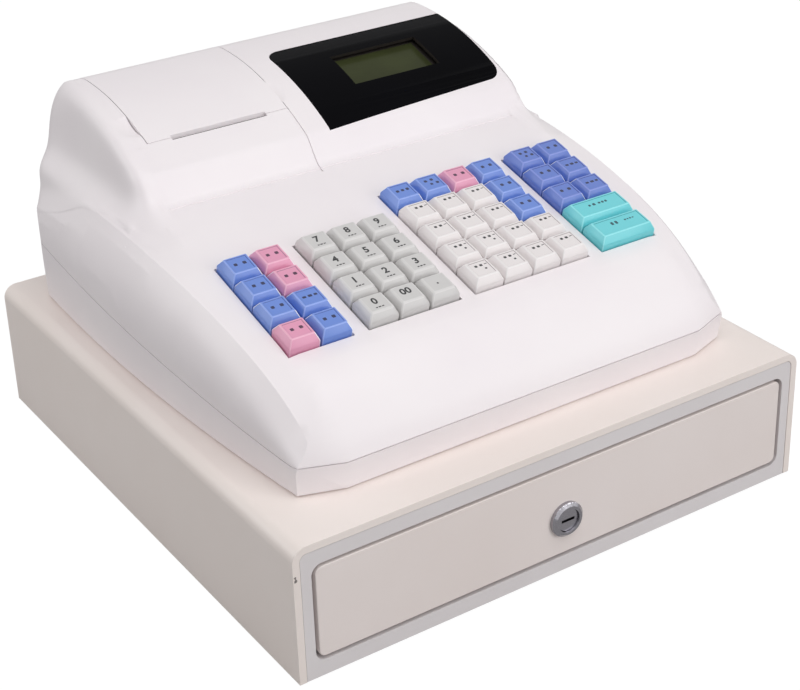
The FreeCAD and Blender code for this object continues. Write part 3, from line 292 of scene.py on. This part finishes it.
slotFinishes = {
    "cabinet_paint": "cabinetEnamel", "zinc_steel": "zinc", "frame_paint": "frameEnamel",
    "front_paint": "frontEnamel",
    "foot_rubber": "rubber", "buffer_rubber": "rubber", "tray_plastic": "trayAbs", "clip_plastic": "clipAbs",
    "lock_chrome": "nickel", "case_plastic": "caseAbs", "mechanism_plastic": "mechanismAbs",
    "platen_rubber": "rubber", "window_plastic": "windowAcrylic", "display_plastic": "displayGlass",
    "board_laminate": "boardLaminate",
}
keySlots = {"blue_key": "blue", "deep_blue_key": "deepBlue", "pink_key": "pink", "cyan_key": "cyan",
            "white_key": "white", "grey_key": "grey"}
nodeSlots = {part["node"]: part["material_slot"] for part in frame["record"]["subparts"]}
for name, node in frame["nodes"].items():
    for holder in node.material_slots:
        if nodeSlots[name] in keySlots:
            holder.material = keyFinishes[keySlots[nodeSlots[name]]][0]
        else:
            holder.material = finishes[slotFinishes[nodeSlots[name]]]


def deselectAll():
    bpy.ops.object.select_all(action="DESELECT")


def choose(piece):
    deselectAll()
    bpy.context.view_layer.objects.active = piece
    piece.select_set(True)


def editMode(kind):
    bpy.ops.object.mode_set(mode="EDIT")
    bpy.ops.mesh.select_mode(type=kind)
    bpy.ops.mesh.select_all(action="DESELECT")


def objectMode():
    bpy.ops.object.mode_set(mode="OBJECT")


def pickFaces(piece, test):
    bpy.ops.mesh.select_all(action="DESELECT")
    mesh = bmesh.from_edit_mesh(piece.data)
    for face in mesh.faces:
        if test(face.calc_center_median(), face.normal):
            face.select_set(True)
    bmesh.update_edit_mesh(piece.data)


def pickEdges(piece, test):
    bpy.ops.mesh.select_all(action="DESELECT")
    mesh = bmesh.from_edit_mesh(piece.data)
    for edge in mesh.edges:
        if test(edge.verts[0].co, edge.verts[1].co):
            edge.select_set(True)
    bmesh.update_edit_mesh(piece.data)


def pickVerts(piece, test):
    bpy.ops.mesh.select_all(action="DESELECT")
    mesh = bmesh.from_edit_mesh(piece.data)
    for vert in mesh.verts:
        if test(vert.co):
            vert.select_set(True)
    mesh.select_flush_mode()
    bmesh.update_edit_mesh(piece.data)


def giveSlot(piece, index):
    piece.active_material_index = index
    bpy.ops.object.material_slot_assign()


def applyModifier(piece, name, kind, settings):
    choose(piece)
    modifier = piece.modifiers.new(name, kind)
    for key, value in settings.items():
        setattr(modifier, key, value)
    bpy.ops.object.modifier_apply(modifier=name)


def applyPlace():
    bpy.ops.object.transform_apply(location=True, rotation=True, scale=True)


def joinAll(pieces, name):
    choose(pieces[0])
    for piece in pieces:
        piece.select_set(True)
    bpy.ops.object.join()
    joined = bpy.context.object
    joined.name = name
    joined.data.name = name
    return joined


def settle(piece, body, slot, *nodes):
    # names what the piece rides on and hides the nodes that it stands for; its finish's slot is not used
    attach(piece, body)
    if nodes:
        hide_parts(*nodes)


def bodyOf(nodeName):
    return frame["nodes"][nodeName]["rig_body"]


# top edge of the case's side leaf: depth, half width and height of points on it, in mm
leafEdge = ((-138, 136.5, 97), (-135, 132.4, 104.6), (-130, 129.4, 113.2), (-120, 130.3, 121.3),
            (-105, 131.8, 130.3),
            (-85, 133.7, 138.9), (-60, 135.5, 146.5), (-30, 137.4, 153.1), (0, 139, 157.6), (30, 140, 160.5),
            (70, 140.4, 161.9))
# degrees that an edge on that line turns to be sharp
leafCrease = 8


def nearLeafEdge(place, reach):
    x, y, z = abs(place.x) / millimetre, place.y / millimetre, place.z / millimetre
    for (y0, x0, z0), (y1, x1, z1) in zip(leafEdge, leafEdge[1:]):
        if y0 <= y <= y1:
            along = (y - y0) / (y1 - y0)
            return math.hypot(x - x0 - (x1 - x0) * along, z - z0 - (z1 - z0) * along) < reach
    return False


def pickSharp(piece, look):
    # an edge stays sharp past the smoothing angle, which is wider high up where a ridge is eased
    bpy.ops.mesh.select_all(action="DESELECT")
    mesh = bmesh.from_edit_mesh(piece.data)
    for edge in mesh.edges:
        if len(edge.link_faces) != 2:
            continue
        a, b = (vert.co for vert in edge.verts)
        limit = look["soft" if min(a.z, b.z) > look["softAbove"] * millimetre else "smooth"]
        if "leaf" in look and all(nearLeafEdge(place, look["leaf"]) for place in (a, b, (a + b) / 2)):
            limit = leafCrease
        if edge.calc_face_angle() > math.radians(limit):
            edge.select_set(True)
    bmesh.update_edit_mesh(piece.data)


# The hump's ends, in mm: a fine grid is fitted over each, then rounded at its corners and hollowed at its
# foot. The region runs out from inner, back from front and up from floor, which holds pairs of depth and
# height.
humpEnds = {
    "centre": (100, 95, 138), "reach": 160, "columns": 300, "rows": 150, "proud": 0.12, "rearmost": 174.1,
    "inner": 113.5, "innerByWindow": 124.2, "windowFoot": 176, "front": 5, "farthest": 125, "finest": 2.4,
    "overlap": 2.0, "frontOverlap": 16, "lowest": 124, "highest": 211.7, "splits": 10,
    "around": 6, "shallow": (49, 64, 130, 1.3),
    "floor": ((-10, 158.6), (30, 161.6), (60, 163.0), (85, 159), (110, 148), (140, 138), (175, 134)),
    # each: margin, front, rear, bottom and top of what is smoothed, and how many times
    "zones": ((3, 0, 400, 0, 400, 14), (4, 9, 40, 0, 172, 50), (4, 9, 46, 0, 178, 35), (4, 9, 52, 0, 184, 20),
              (4, 9, 60, 0, 190, 12), (4, 55, 400, 0, 170, 14), (6, 135, 400, 166, 400, 40),
              (5, 125, 400, 162, 400, 20), (4, 115, 400, 158, 400, 10), (3, 0, 400, 0, 400, 4)),
}


def insideEnd(look, place, side, margin):
    # whether a place is on one of the hump's ends, at least margin from that region's border
    x, y, z = side * place.x / millimetre, place.y / millimetre, place.z / millimetre
    inner = look["innerByWindow"] if side > 0 and z > look["windowFoot"] - margin else look["inner"]
    if x < inner + margin or y < look["front"] + margin:
        return False
    for (y0, z0), (y1, z1) in zip(look["floor"], look["floor"][1:]):
        if y0 <= y <= y1:
            return z > z0 + (z1 - z0) * (y - y0) / (y1 - y0) + margin
    return False


def modelHumpEnd(look, side):
    # half a sphere drawn in onto the case, cut to the region and smoothed zone by zone
    centre = Vector((side * look["centre"][0], look["centre"][1], look["centre"][2])) * millimetre
    deselectAll()
    bpy.ops.mesh.primitive_uv_sphere_add(segments=look["columns"], ring_count=look["rows"],
                                         radius=look["reach"] * millimetre, location=centre,
                                         rotation=(math.radians(90), 0, 0))
    applyPlace()
    grid = bpy.context.object
    choose(grid)
    editMode("VERT")
    pickVerts(grid, lambda place: side * place.x < abs(centre.x) or place.z < look["lowest"] * millimetre)
    bpy.ops.mesh.delete(type="VERT")
    objectMode()
    applyModifier(grid, "fitted over the case", "SHRINKWRAP", {
        "target": frame["nodes"]["upper_case"], "wrap_method": "PROJECT", "use_positive_direction": False,
        "use_negative_direction": True, "offset": look["proud"] * millimetre})
    choose(grid)
    editMode("VERT")
    pickVerts(grid, lambda place: not insideEnd(look, place, side, 0)
              or (place - centre).length > look["farthest"] * millimetre)
    bpy.ops.mesh.delete(type="VERT")
    pickVerts(grid, lambda place: place.y > look["rearmost"] * millimetre)
    bpy.ops.transform.resize(value=(1, 0, 1), center_override=(0, look["rearmost"] * millimetre, 0))
    for margin, front, rear, bottom, top, passes in look["zones"]:
        pickVerts(grid, lambda place: insideEnd(look, place, side, margin)
                  and front < place.y / millimetre < rear and bottom < place.z / millimetre < top)
        bpy.ops.mesh.vertices_smooth(factor=0.5, repeat=passes)
    pickVerts(grid, lambda place: place.z > look["highest"] * millimetre)
    bpy.ops.transform.resize(value=(1, 1, 0), center_override=(0, 0, look["highest"] * millimetre))
    bpy.ops.mesh.select_all(action="SELECT")
    bpy.ops.mesh.normals_make_consistent(inside=False)
    objectMode()
    return grid


def easeHumpEnds(piece, look):
    # the case's own faces go where a grid covers them, save for a narrow overlap
    grids = [modelHumpEnd(look, side) for side in (-1, 1)]
    choose(piece)
    editMode("EDGE")

    def onEnd(place, margin):
        return insideEnd(look, place, -1 if place.x < 0 else 1, margin)

    for _ in range(look["splits"]):
        pickEdges(piece, lambda a, b: (a - b).length > look["finest"] * millimetre
                  and any(onEnd(place, -look["around"]) for place in (a, b, (a + b) / 2)))
        bpy.ops.mesh.subdivide(number_cuts=1)
    bpy.ops.mesh.select_mode(type="FACE")
    bpy.ops.mesh.select_all(action="SELECT")
    bpy.ops.mesh.quads_convert_to_tris(quad_method="BEAUTY", ngon_method="BEAUTY")
    pickFaces(piece, lambda centre, normal: onEnd(centre, look["overlap"])
              and centre.y > look["frontOverlap"] * millimetre)
    bpy.ops.mesh.delete(type="FACE")
    front, rear, out, margin = look["shallow"]
    pickFaces(piece, lambda centre, normal: onEnd(centre, margin) and front < centre.y / millimetre < rear
              and abs(centre.x) > out * millimetre)
    bpy.ops.mesh.delete(type="FACE")
    objectMode()
    for grid in grids:
        grid.data.materials.clear()
        grid.data.materials.append(finishes["caseAbs"])
    return joinAll([piece] + grids, piece.name)


def easeFoot(piece, foot):
    # draws the bottom edge in and up all round, so that a shadow line shows where the case stands
    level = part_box("lower_case")[0][2]
    choose(piece)
    editMode("VERT")
    bpy.ops.mesh.select_all(action="SELECT")
    bpy.ops.mesh.bisect(plane_co=(0, 0, level + foot["height"] * millimetre), plane_no=(0, 0, 1))
    pickVerts(piece, lambda place: place.z < level + foot["height"] * millimetre / 2)
    bpy.ops.transform.resize(value=(foot["share"], foot["share"], 1), center_override=(0, 0, 0))
    objectMode()


def smoothCopy(nodeName, look):
    # the CAD node's own form: corners merged, flats dissolved and curves shaded smooth
    piece = frame["nodes"][nodeName].copy()
    piece.data = frame["nodes"][nodeName].data.copy()
    piece.name = nodeName + "_skin"
    bpy.context.scene.collection.objects.link(piece)
    choose(piece)
    editMode("FACE")
    bpy.ops.mesh.select_all(action="SELECT")
    bpy.ops.mesh.remove_doubles(threshold=mergeWithin * millimetre)
    reach = look["flatWithin"] * millimetre
    pickFaces(piece, lambda centre, normal: abs(centre.x) < reach)
    bpy.ops.mesh.dissolve_limited(angle_limit=math.radians(look["flat"]))
    objectMode()
    if "ends" in look:
        piece = easeHumpEnds(piece, look["ends"])
    if "foot" in look:
        easeFoot(piece, look["foot"])
    choose(piece)
    bpy.ops.object.shade_smooth()
    editMode("EDGE")
    pickSharp(piece, look)
    bpy.ops.mesh.mark_sharp()
    objectMode()
    if look["weighted"]:
        applyModifier(piece, "flat faces kept flat", "WEIGHTED_NORMAL", {"keep_sharp": True, "weight": 50})
    settle(piece, bodyOf(nodeName), nodeSlots[nodeName], nodeName)
    return piece


# angles in degrees: flats are dissolved up to flat, and an edge is sharp past smooth, or past soft high up
plainSkin = {"flat": 0.5, "flatWithin": 900, "smooth": 30, "soft": 30, "softAbove": 900, "weighted": True}
mergeWithin = 0.004
skins = {
    "upper_case": {**plainSkin, "flatWithin": 0, "smooth": 27, "soft": 50, "softAbove": 150, "leaf": 1.6,
                   "ends": humpEnds},
    "lower_case": {**plainSkin, "flatWithin": 0, "smooth": 28, "foot": {"height": 1.4, "share": 0.99}},
    "printer_cover": {**plainSkin, "flatWithin": 0, "smooth": 50},
    "cabinet_cover": plainSkin,
    "drawer_front": {**plainSkin, "smooth": 50},
    "front_frame": plainSkin,
    "display_window": {**plainSkin, "flatWithin": 0, "weighted": False},
}
for name in ("cabinet_base", "rubber_feet", "drawer_buffers", "release_solenoid", "drawer_box",
             "drawer_runners",
             "cabinet_runners", "cash_tray", "clip_rod", "bill_clip_left", "bill_clip_middle",
             "bill_clip_right",
             "lock_barrel", "lock_plug", "lock_cam", "drawer_latch", "printer_mechanism", "platen_roller",
             "keyboard_plate", "main_board", "case_screws", "display_module"):
    skins[name] = plainSkin
skinned = {nodeName: smoothCopy(nodeName, look) for nodeName, look in skins.items()}
print("skins made")


# sizes in mm, from a cap's own middle at the deck's surface
keyLook = {"pitch": 19.05, "gap": 1.2, "sink": 4.5, "shoulder": 3.4, "rise": 7.7,
           "topWidth": 13.4, "topDepth": 12.8,
           "clearEdge": 0.5, "softEdge": 0.9, "border": 0.6, "lineWidth": 0.28, "dish": 0.22,
           "wall": 1.2, "hollow": 3.0, "smooth": 35, "padCorner": 0.25,
           "inkThickness": 0.05, "digitSize": 6.4, "digitPlace": (-0.4, 1.3), "digitWeight": 0.2}
# places of a cap's finishes in its list
capSlots = {part: index for index, part in enumerate(keyColours["blue"])}
deck = {"place": (0, -0.09055, 0.1405), "slope": 14.336, "blocks": (-108.585, -61.595, 4.445, 89.535)}


def modelCap(shade, columns):
    # skirt, slope and top, drawn up from one block as a moulded cap is
    clear = shade != "grey"
    width = (keyLook["pitch"] * columns - keyLook["gap"]) * millimetre
    depth = (keyLook["pitch"] - keyLook["gap"]) * millimetre
    side = width - (keyLook["pitch"] - keyLook["gap"] - keyLook["topWidth"]) * millimetre
    shoulder = keyLook["shoulder"] * millimetre
    rise = keyLook["rise"] * millimetre
    sink = keyLook["sink"] * millimetre
    deselectAll()
    bpy.ops.mesh.primitive_cube_add(size=1, location=(0, 0, (shoulder - sink) / 2),
                                    scale=(width, depth, shoulder + sink))
    applyPlace()
    cap = bpy.context.object
    cap.name = "cap_model"
    for finish in keyFinishes[shade]:
        cap.data.materials.append(finish)
    editMode("FACE")
    pickFaces(cap, lambda centre, normal: normal.z > 0.9)
    bpy.ops.mesh.extrude_region_move(TRANSFORM_OT_translate={"value": (0, 0, rise - shoulder)})
    bpy.ops.transform.resize(value=(side / width, keyLook["topDepth"] * millimetre / depth, 1),
                             center_override=(0, 0, 0))
    # every edge but the bottom ones is rounded, by less on a clear cap
    bpy.ops.mesh.select_mode(type="EDGE")
    pickEdges(cap, lambda a, b: max(a.z, b.z) > 0)
    corner = keyLook["clearEdge"] if clear else keyLook["softEdge"]
    bpy.ops.mesh.bevel(offset=corner * millimetre, segments=3, affect="EDGES", clamp_overlap=True)
    bpy.ops.mesh.select_mode(type="FACE")
    level = rise - 0.01 * millimetre
    # painted highlight: the rounded border of the top is coloured lighter where it catches the light, as is
    # the near corner
    pickFaces(cap, lambda centre, normal: 0.55 < normal.z < 0.98
              and centre.z > rise - corner * 0.9 * millimetre)
    giveSlot(cap, capSlots["lit"])
    pickFaces(cap, lambda centre, normal: normal.x < -0.15 and normal.y < -0.15 and normal.z < 0.7)
    giveSlot(cap, capSlots["lit"])
    # painted highlight: a clear cap's other corners are coloured pale, standing in for the bright line where
    # one looks along its wall
    pickFaces(cap, lambda centre, normal: abs(normal.x) > 0.15 and abs(normal.y) > 0.15 and normal.z < 0.7
              and (normal.x > 0 or normal.y > 0))
    giveSlot(cap, capSlots["rim"])
    pickFaces(cap, lambda centre, normal: normal.z > 0.99 and centre.z > level)
    if clear:
        bpy.ops.mesh.inset(thickness=keyLook["border"] * millimetre)
        giveSlot(cap, capSlots["line"])
        bpy.ops.mesh.inset(thickness=keyLook["lineWidth"] * millimetre)
        giveSlot(cap, capSlots["body"])
    else:
        bpy.ops.mesh.inset(thickness=keyLook["border"] * 2 * millimetre)
    bpy.ops.transform.translate(value=(0, 0, -keyLook["dish"] * millimetre))
    # hollow underneath
    pickFaces(cap, lambda centre, normal: normal.z < -0.9)
    bpy.ops.mesh.inset(thickness=keyLook["wall"] * millimetre)
    bpy.ops.transform.translate(value=(0, 0, keyLook["hollow"] * millimetre))
    objectMode()
    bpy.ops.object.shade_smooth_by_angle(angle=math.radians(keyLook["smooth"]))
    return cap


# each mark: middle x and y, width and depth, in mm; a digit stands for itself
legends = {
    "pair": ((-2.6, 0.3, 2.0, 2.1), (2.6, 0.3, 2.1, 2.2)),
    "trio": ((-3.2, 0.4, 2.0, 1.9), (0, 0.4, 1.9, 1.9), (3.2, 0.4, 1.9, 2.1)),
    "quad": ((-2.6, 2.0, 1.9, 1.9), (1.4, 2.2, 1.9, 1.9), (-0.6, -1.4, 1.7, 1.6), (3.4, -1.2, 1.9, 1.8)),
    "bars": ((-3.2, 0.4, 2.2, 1.5), (0.2, 0.4, 2.4, 1.7), (3.4, 0.4, 2.0, 1.5)),
    "dash": ((-2.2, 2.3, 1.7, 1.6), (1.0, 2.3, 1.8, 1.6), (4.0, 2.5, 1.7, 0.5)),
    "dashDot": ((-2.2, 2.3, 1.7, 1.6), (1.0, 2.3, 1.8, 1.6), (4.0, 2.5, 1.7, 0.5), (2.2, -0.9, 1.3, 1.2)),
    "wideTwin": ((-5.0, 1.4, 1.7, 2.5), (-2.1, 1.4, 1.7, 2.5), (4.2, 1.4, 1.3, 1.1), (6.0, 1.4, 1.2, 0.9),
                 (7.8, 1.4, 1.2, 1.1), (9.6, 1.4, 1.2, 0.8)),
    "wideRow": ((-6.2, 1.2, 1.4, 1.5), (-3.2, 1.2, 1.9, 1.9), (0.6, 1.2, 1.5, 1.5), (2.9, 1.2, 1.5, 1.7),
                (5.2, 1.2, 1.5, 1.6)),
    "below": ((-1.9, -3.5, 1.2, 0.7), (-0.1, -3.5, 1.5, 0.8), (1.8, -3.5, 1.3, 0.7)),
}


def modelMarks(marks, finish, level):
    # flat pads of printing ink
    pads = []
    for x, y, width, depth in marks:
        deselectAll()
        bpy.ops.mesh.primitive_cube_add(
            size=1, location=(x * millimetre, y * millimetre, level),
            scale=(width * millimetre, depth * millimetre, keyLook["inkThickness"] * millimetre))
        applyPlace()
        pad = bpy.context.object
        pad.data.materials.append(finish)
        editMode("EDGE")
        pickEdges(pad, lambda a, b: abs(a.z - b.z) > keyLook["inkThickness"] * millimetre / 2)
        bpy.ops.mesh.bevel(offset=keyLook["padCorner"] * min(width, depth) * millimetre, segments=2,
                           affect="EDGES")
        objectMode()
        pads.append(pad)
    return pads


def modelDigit(text, finish, level):
    deselectAll()
    x, y = keyLook["digitPlace"]
    bpy.ops.object.text_add(location=(x * millimetre, y * millimetre, level))
    digit = bpy.context.object
    digit.data.body = text
    digit.data.size = keyLook["digitSize"] * millimetre
    digit.data.align_x = "CENTER"
    digit.data.align_y = "CENTER"
    digit.data.extrude = keyLook["inkThickness"] * millimetre / 2
    digit.data.offset = keyLook["digitWeight"] * millimetre
    digit.data.resolution_u = 3
    bpy.ops.object.convert(target="MESH")
    digit = bpy.context.object
    applyPlace()
    digit.data.materials.clear()
    digit.data.materials.append(finish)
    return digit


capModels = {}
deckTurn = Matrix.Translation(deck["place"]) @ Matrix.Rotation(math.radians(deck["slope"]), 4, "X")


def setKeys(nodeName, block, spots, legendNames):
    # places copies of one cap with its legend on the deck, one for each column and row
    shade = keySlots[nodeSlots[nodeName]]
    caps = []
    for (column, row, columns), legend in zip(spots, legendNames):
        key = (shade, columns, legend)
        if key not in capModels:
            cap = modelCap(shade, columns)
            ink = keyFinishes[shade][capSlots["ink"]]
            level = (keyLook["rise"] - keyLook["dish"]) * millimetre
            marks = () if legend in (".", "00") else legends.get(legend, legends["below"])
            parts = [] if legend in legends else [modelDigit(legend, ink, level)]
            parts += modelMarks(marks, ink, level)
            capModels[key] = joinAll([cap] + parts, "cap_" + shade + str(len(capModels)))
        copy = capModels[key].copy()
        copy.data = capModels[key].data.copy()
        x = deck["blocks"][block] + (column + (columns - 1) / 2) * keyLook["pitch"]
        place = Matrix.Translation((x * millimetre, row * keyLook["pitch"] * millimetre, 0))
        copy.data.transform(deckTurn @ place)
        bpy.context.scene.collection.objects.link(copy)
        caps.append(copy)
    piece = joinAll(caps, nodeName + "_cap")
    settle(piece, bodyOf(nodeName), nodeSlots[nodeName], nodeName)


for row in range(4):
    for column, letter in enumerate("ab"):
        setKeys("left_key_row" + str(row + 1) + "_" + letter, 0, [(column, row, 1)],
                ["bars" if (row, letter) == (1, "b") else "pair"])
for row, labels in enumerate((("0", "00", "."), ("1", "2", "3"), ("4", "5", "6"), ("7", "8", "9"))):
    for column, label in enumerate(labels):
        setKeys("number_key_" + ("point" if label == "." else label), 1, [(column, row, 1)], [label])
for row, count in enumerate((4, 4, 3, 3)):
    setKeys("white_keys_row" + str(row + 1), 2, [(column, row, 1) for column in range(count)],
            ["dashDot" if row < 2 and column < 2 else "dash" for column in range(count)])
setKeys("middle_keys_right", 2, [(3, row, 1) for row in (2, 3, 4)], ["pair", "pair", "pair"])
setKeys("middle_keys_back", 2, [(0, 4, 1), (1, 4, 1)], ["trio", "quad"])
setKeys("middle_key_pink", 2, [(2, 4, 1)], ["pair"])
setKeys("right_keys_left", 3, [(0, row, 1) for row in (2, 3, 4)], ["pair", "pair", "quad"])
setKeys("right_keys_right", 3, [(1, row, 1) for row in (2, 3, 4)], ["bars", "bars", "pair"])
setKeys("wide_key_front", 3, [(0, 0, 2)], ["wideTwin"])
setKeys("wide_key_rear", 3, [(0, 1, 2)], ["wideRow"])
for model in capModels.values():
    bpy.data.objects.remove(model)
print("keys made:", len(capModels), "models")


# display: an opening through the smoked window over the glass, sizes in mm
display = {"left": 29.5, "right": 89.5, "front": 69.0, "rear": 98.6, "slope": 17.66,
           "middle": (59.5, 82.7, 198.4),
           "glassSize": (68, 40, 0.5), "cutDepth": 14, "reveal": 3, "touch": 0.05, "rim": 4.6, "bezel": 0.3,
           "sunk": 0.15}


def openWindow(look):
    window = skinned["display_window"]
    window.data.materials.append(finishes["recessWall"])
    deselectAll()
    bpy.ops.mesh.primitive_cube_add(
        size=1, location=[c * millimetre for c in look["middle"]],
        rotation=(math.radians(look["slope"]), 0, 0),
        scale=((look["right"] - look["left"]) * millimetre, (look["rear"] - look["front"]) * millimetre,
               look["cutDepth"] * millimetre))
    applyPlace()
    cutter = bpy.context.object
    applyModifier(window, "display opening", "BOOLEAN", {"object": cutter, "operation": "DIFFERENCE"})
    bpy.data.objects.remove(cutter)
    choose(window)
    editMode("FACE")
    left, right = look["left"] - look["touch"], look["right"] + look["touch"]
    front, rear = look["front"] - look["reveal"], look["rear"] + look["reveal"]
    pickFaces(window, lambda centre, normal: left < centre.x / millimetre < right
              and front < centre.y / millimetre < rear and abs(normal.z) < 0.6)
    giveSlot(window, 1)
    objectMode()


def modelGlass(look):
    deselectAll()
    bpy.ops.mesh.primitive_cube_add(
        size=1, location=[c * millimetre for c in look["middle"]],
        rotation=(math.radians(look["slope"]), 0, 0),
        scale=[c * millimetre for c in look["glassSize"]])
    applyPlace()
    glass = bpy.context.object
    glass.name = "display_glass"
    glass.data.materials.append(finishes["recessWall"])
    glass.data.materials.append(finishes["displayGlass"])
    editMode("FACE")
    pickFaces(glass, lambda centre, normal: normal.z > 0.9)
    bpy.ops.mesh.inset(thickness=look["rim"] * millimetre)
    bpy.ops.mesh.inset(thickness=look["bezel"] * millimetre)
    giveSlot(glass, 1)
    bpy.ops.transform.translate(value=(0, 0, -look["sunk"] * millimetre))
    objectMode()
    settle(glass, "register", nodeSlots["display_module"])


openWindow(display)
modelGlass(display)
print("display made")

# floor, backdrop and light
stageLook = {"floorSize": 30, "floorGlow": 0.9, "glowLevel": 1.1, "floorColour": "#BDBDBD",
             "worldLevel": 0.36,
             "backdrop": 1}


def buildStage(look):
    material = bpy.data.materials.new("pale floor")
    material.use_nodes = True
    material.node_tree.nodes.clear()
    paper = addNode(material, "BsdfDiffuse", {"Color": linearColour(look["floorColour"])}, {})
    glow = addNode(material, "Emission", {"Color": (1, 1, 1, 1), "Strength": look["glowLevel"]}, {})
    rays = addNode(material, "LightPath", {}, {})
    seen = addNode(material, "Math", {"operation": "MULTIPLY", 1: look["floorGlow"]},
                   {0: rays.outputs["Is Camera Ray"]})
    mixed = addNode(material, "MixShader", {}, {0: seen.outputs[0], 1: paper.outputs[0], 2: glow.outputs[0]})
    addNode(material, "OutputMaterial", {}, {"Surface": mixed.outputs[0]})
    deselectAll()
    bpy.ops.mesh.primitive_plane_add(size=look["floorSize"], location=(0, 0, cadBox[0][2]))
    floor = bpy.context.object
    floor.name = "floor"
    floor.data.materials.append(material)

    world = bpy.data.worlds.new("studio")
    bpy.context.scene.world = world
    world.use_nodes = True
    world.node_tree.nodes.clear()
    air = addNode(world, "Background", {"Color": (1, 1, 1, 1), "Strength": look["worldLevel"]}, {})
    seenAir = addNode(world, "Background", {"Color": (1, 1, 1, 1), "Strength": look["backdrop"]}, {})
    rays = addNode(world, "LightPath", {}, {})
    eye = addNode(world, "Math", {"operation": "ADD", "use_clamp": True},
                  {0: rays.outputs["Is Camera Ray"], 1: rays.outputs["Is Glossy Ray"]})
    clear = addNode(world, "Math", {"operation": "ADD", "use_clamp": True},
                    {0: eye.outputs[0], 1: rays.outputs["Is Transmission Ray"]})
    mixed = addNode(world, "MixShader", {}, {0: clear.outputs[0], 1: air.outputs[0], 2: seenAir.outputs[0]})
    addNode(world, "OutputWorld", {}, {"Surface": mixed.outputs[0]})


lamps = {
    "overhead": {"place": (-0.05, -0.45, 1.05), "aim": (0, -0.02, 0.1), "size": 0.9, "power": 5.2},
    "front": {"place": (0.8, -1.6, 0.6), "aim": (0, 0, 0.1), "size": 1.2, "power": 9.8},
    "leftRear": {"place": (-0.85, 0.4, 0.5), "aim": (-0.1, 0.1, 0.15), "size": 0.5, "power": 1.8},
}


def buildLamps(lamps):
    for name, look in lamps.items():
        data = bpy.data.lights.new(name, "AREA")
        data.size = look["size"]
        data.energy = look["power"]
        lamp = bpy.data.objects.new(name, data)
        lamp.location = look["place"]
        ray = Vector(look["aim"]) - Vector(look["place"])
        lamp.rotation_euler = ray.to_track_quat("-Z", "Y").to_euler()
        bpy.context.scene.collection.objects.link(lamp)


buildStage(stageLook)
buildLamps(lamps)
bpy.context.scene.view_settings.view_transform = "Standard"
print("stage and lamps made")
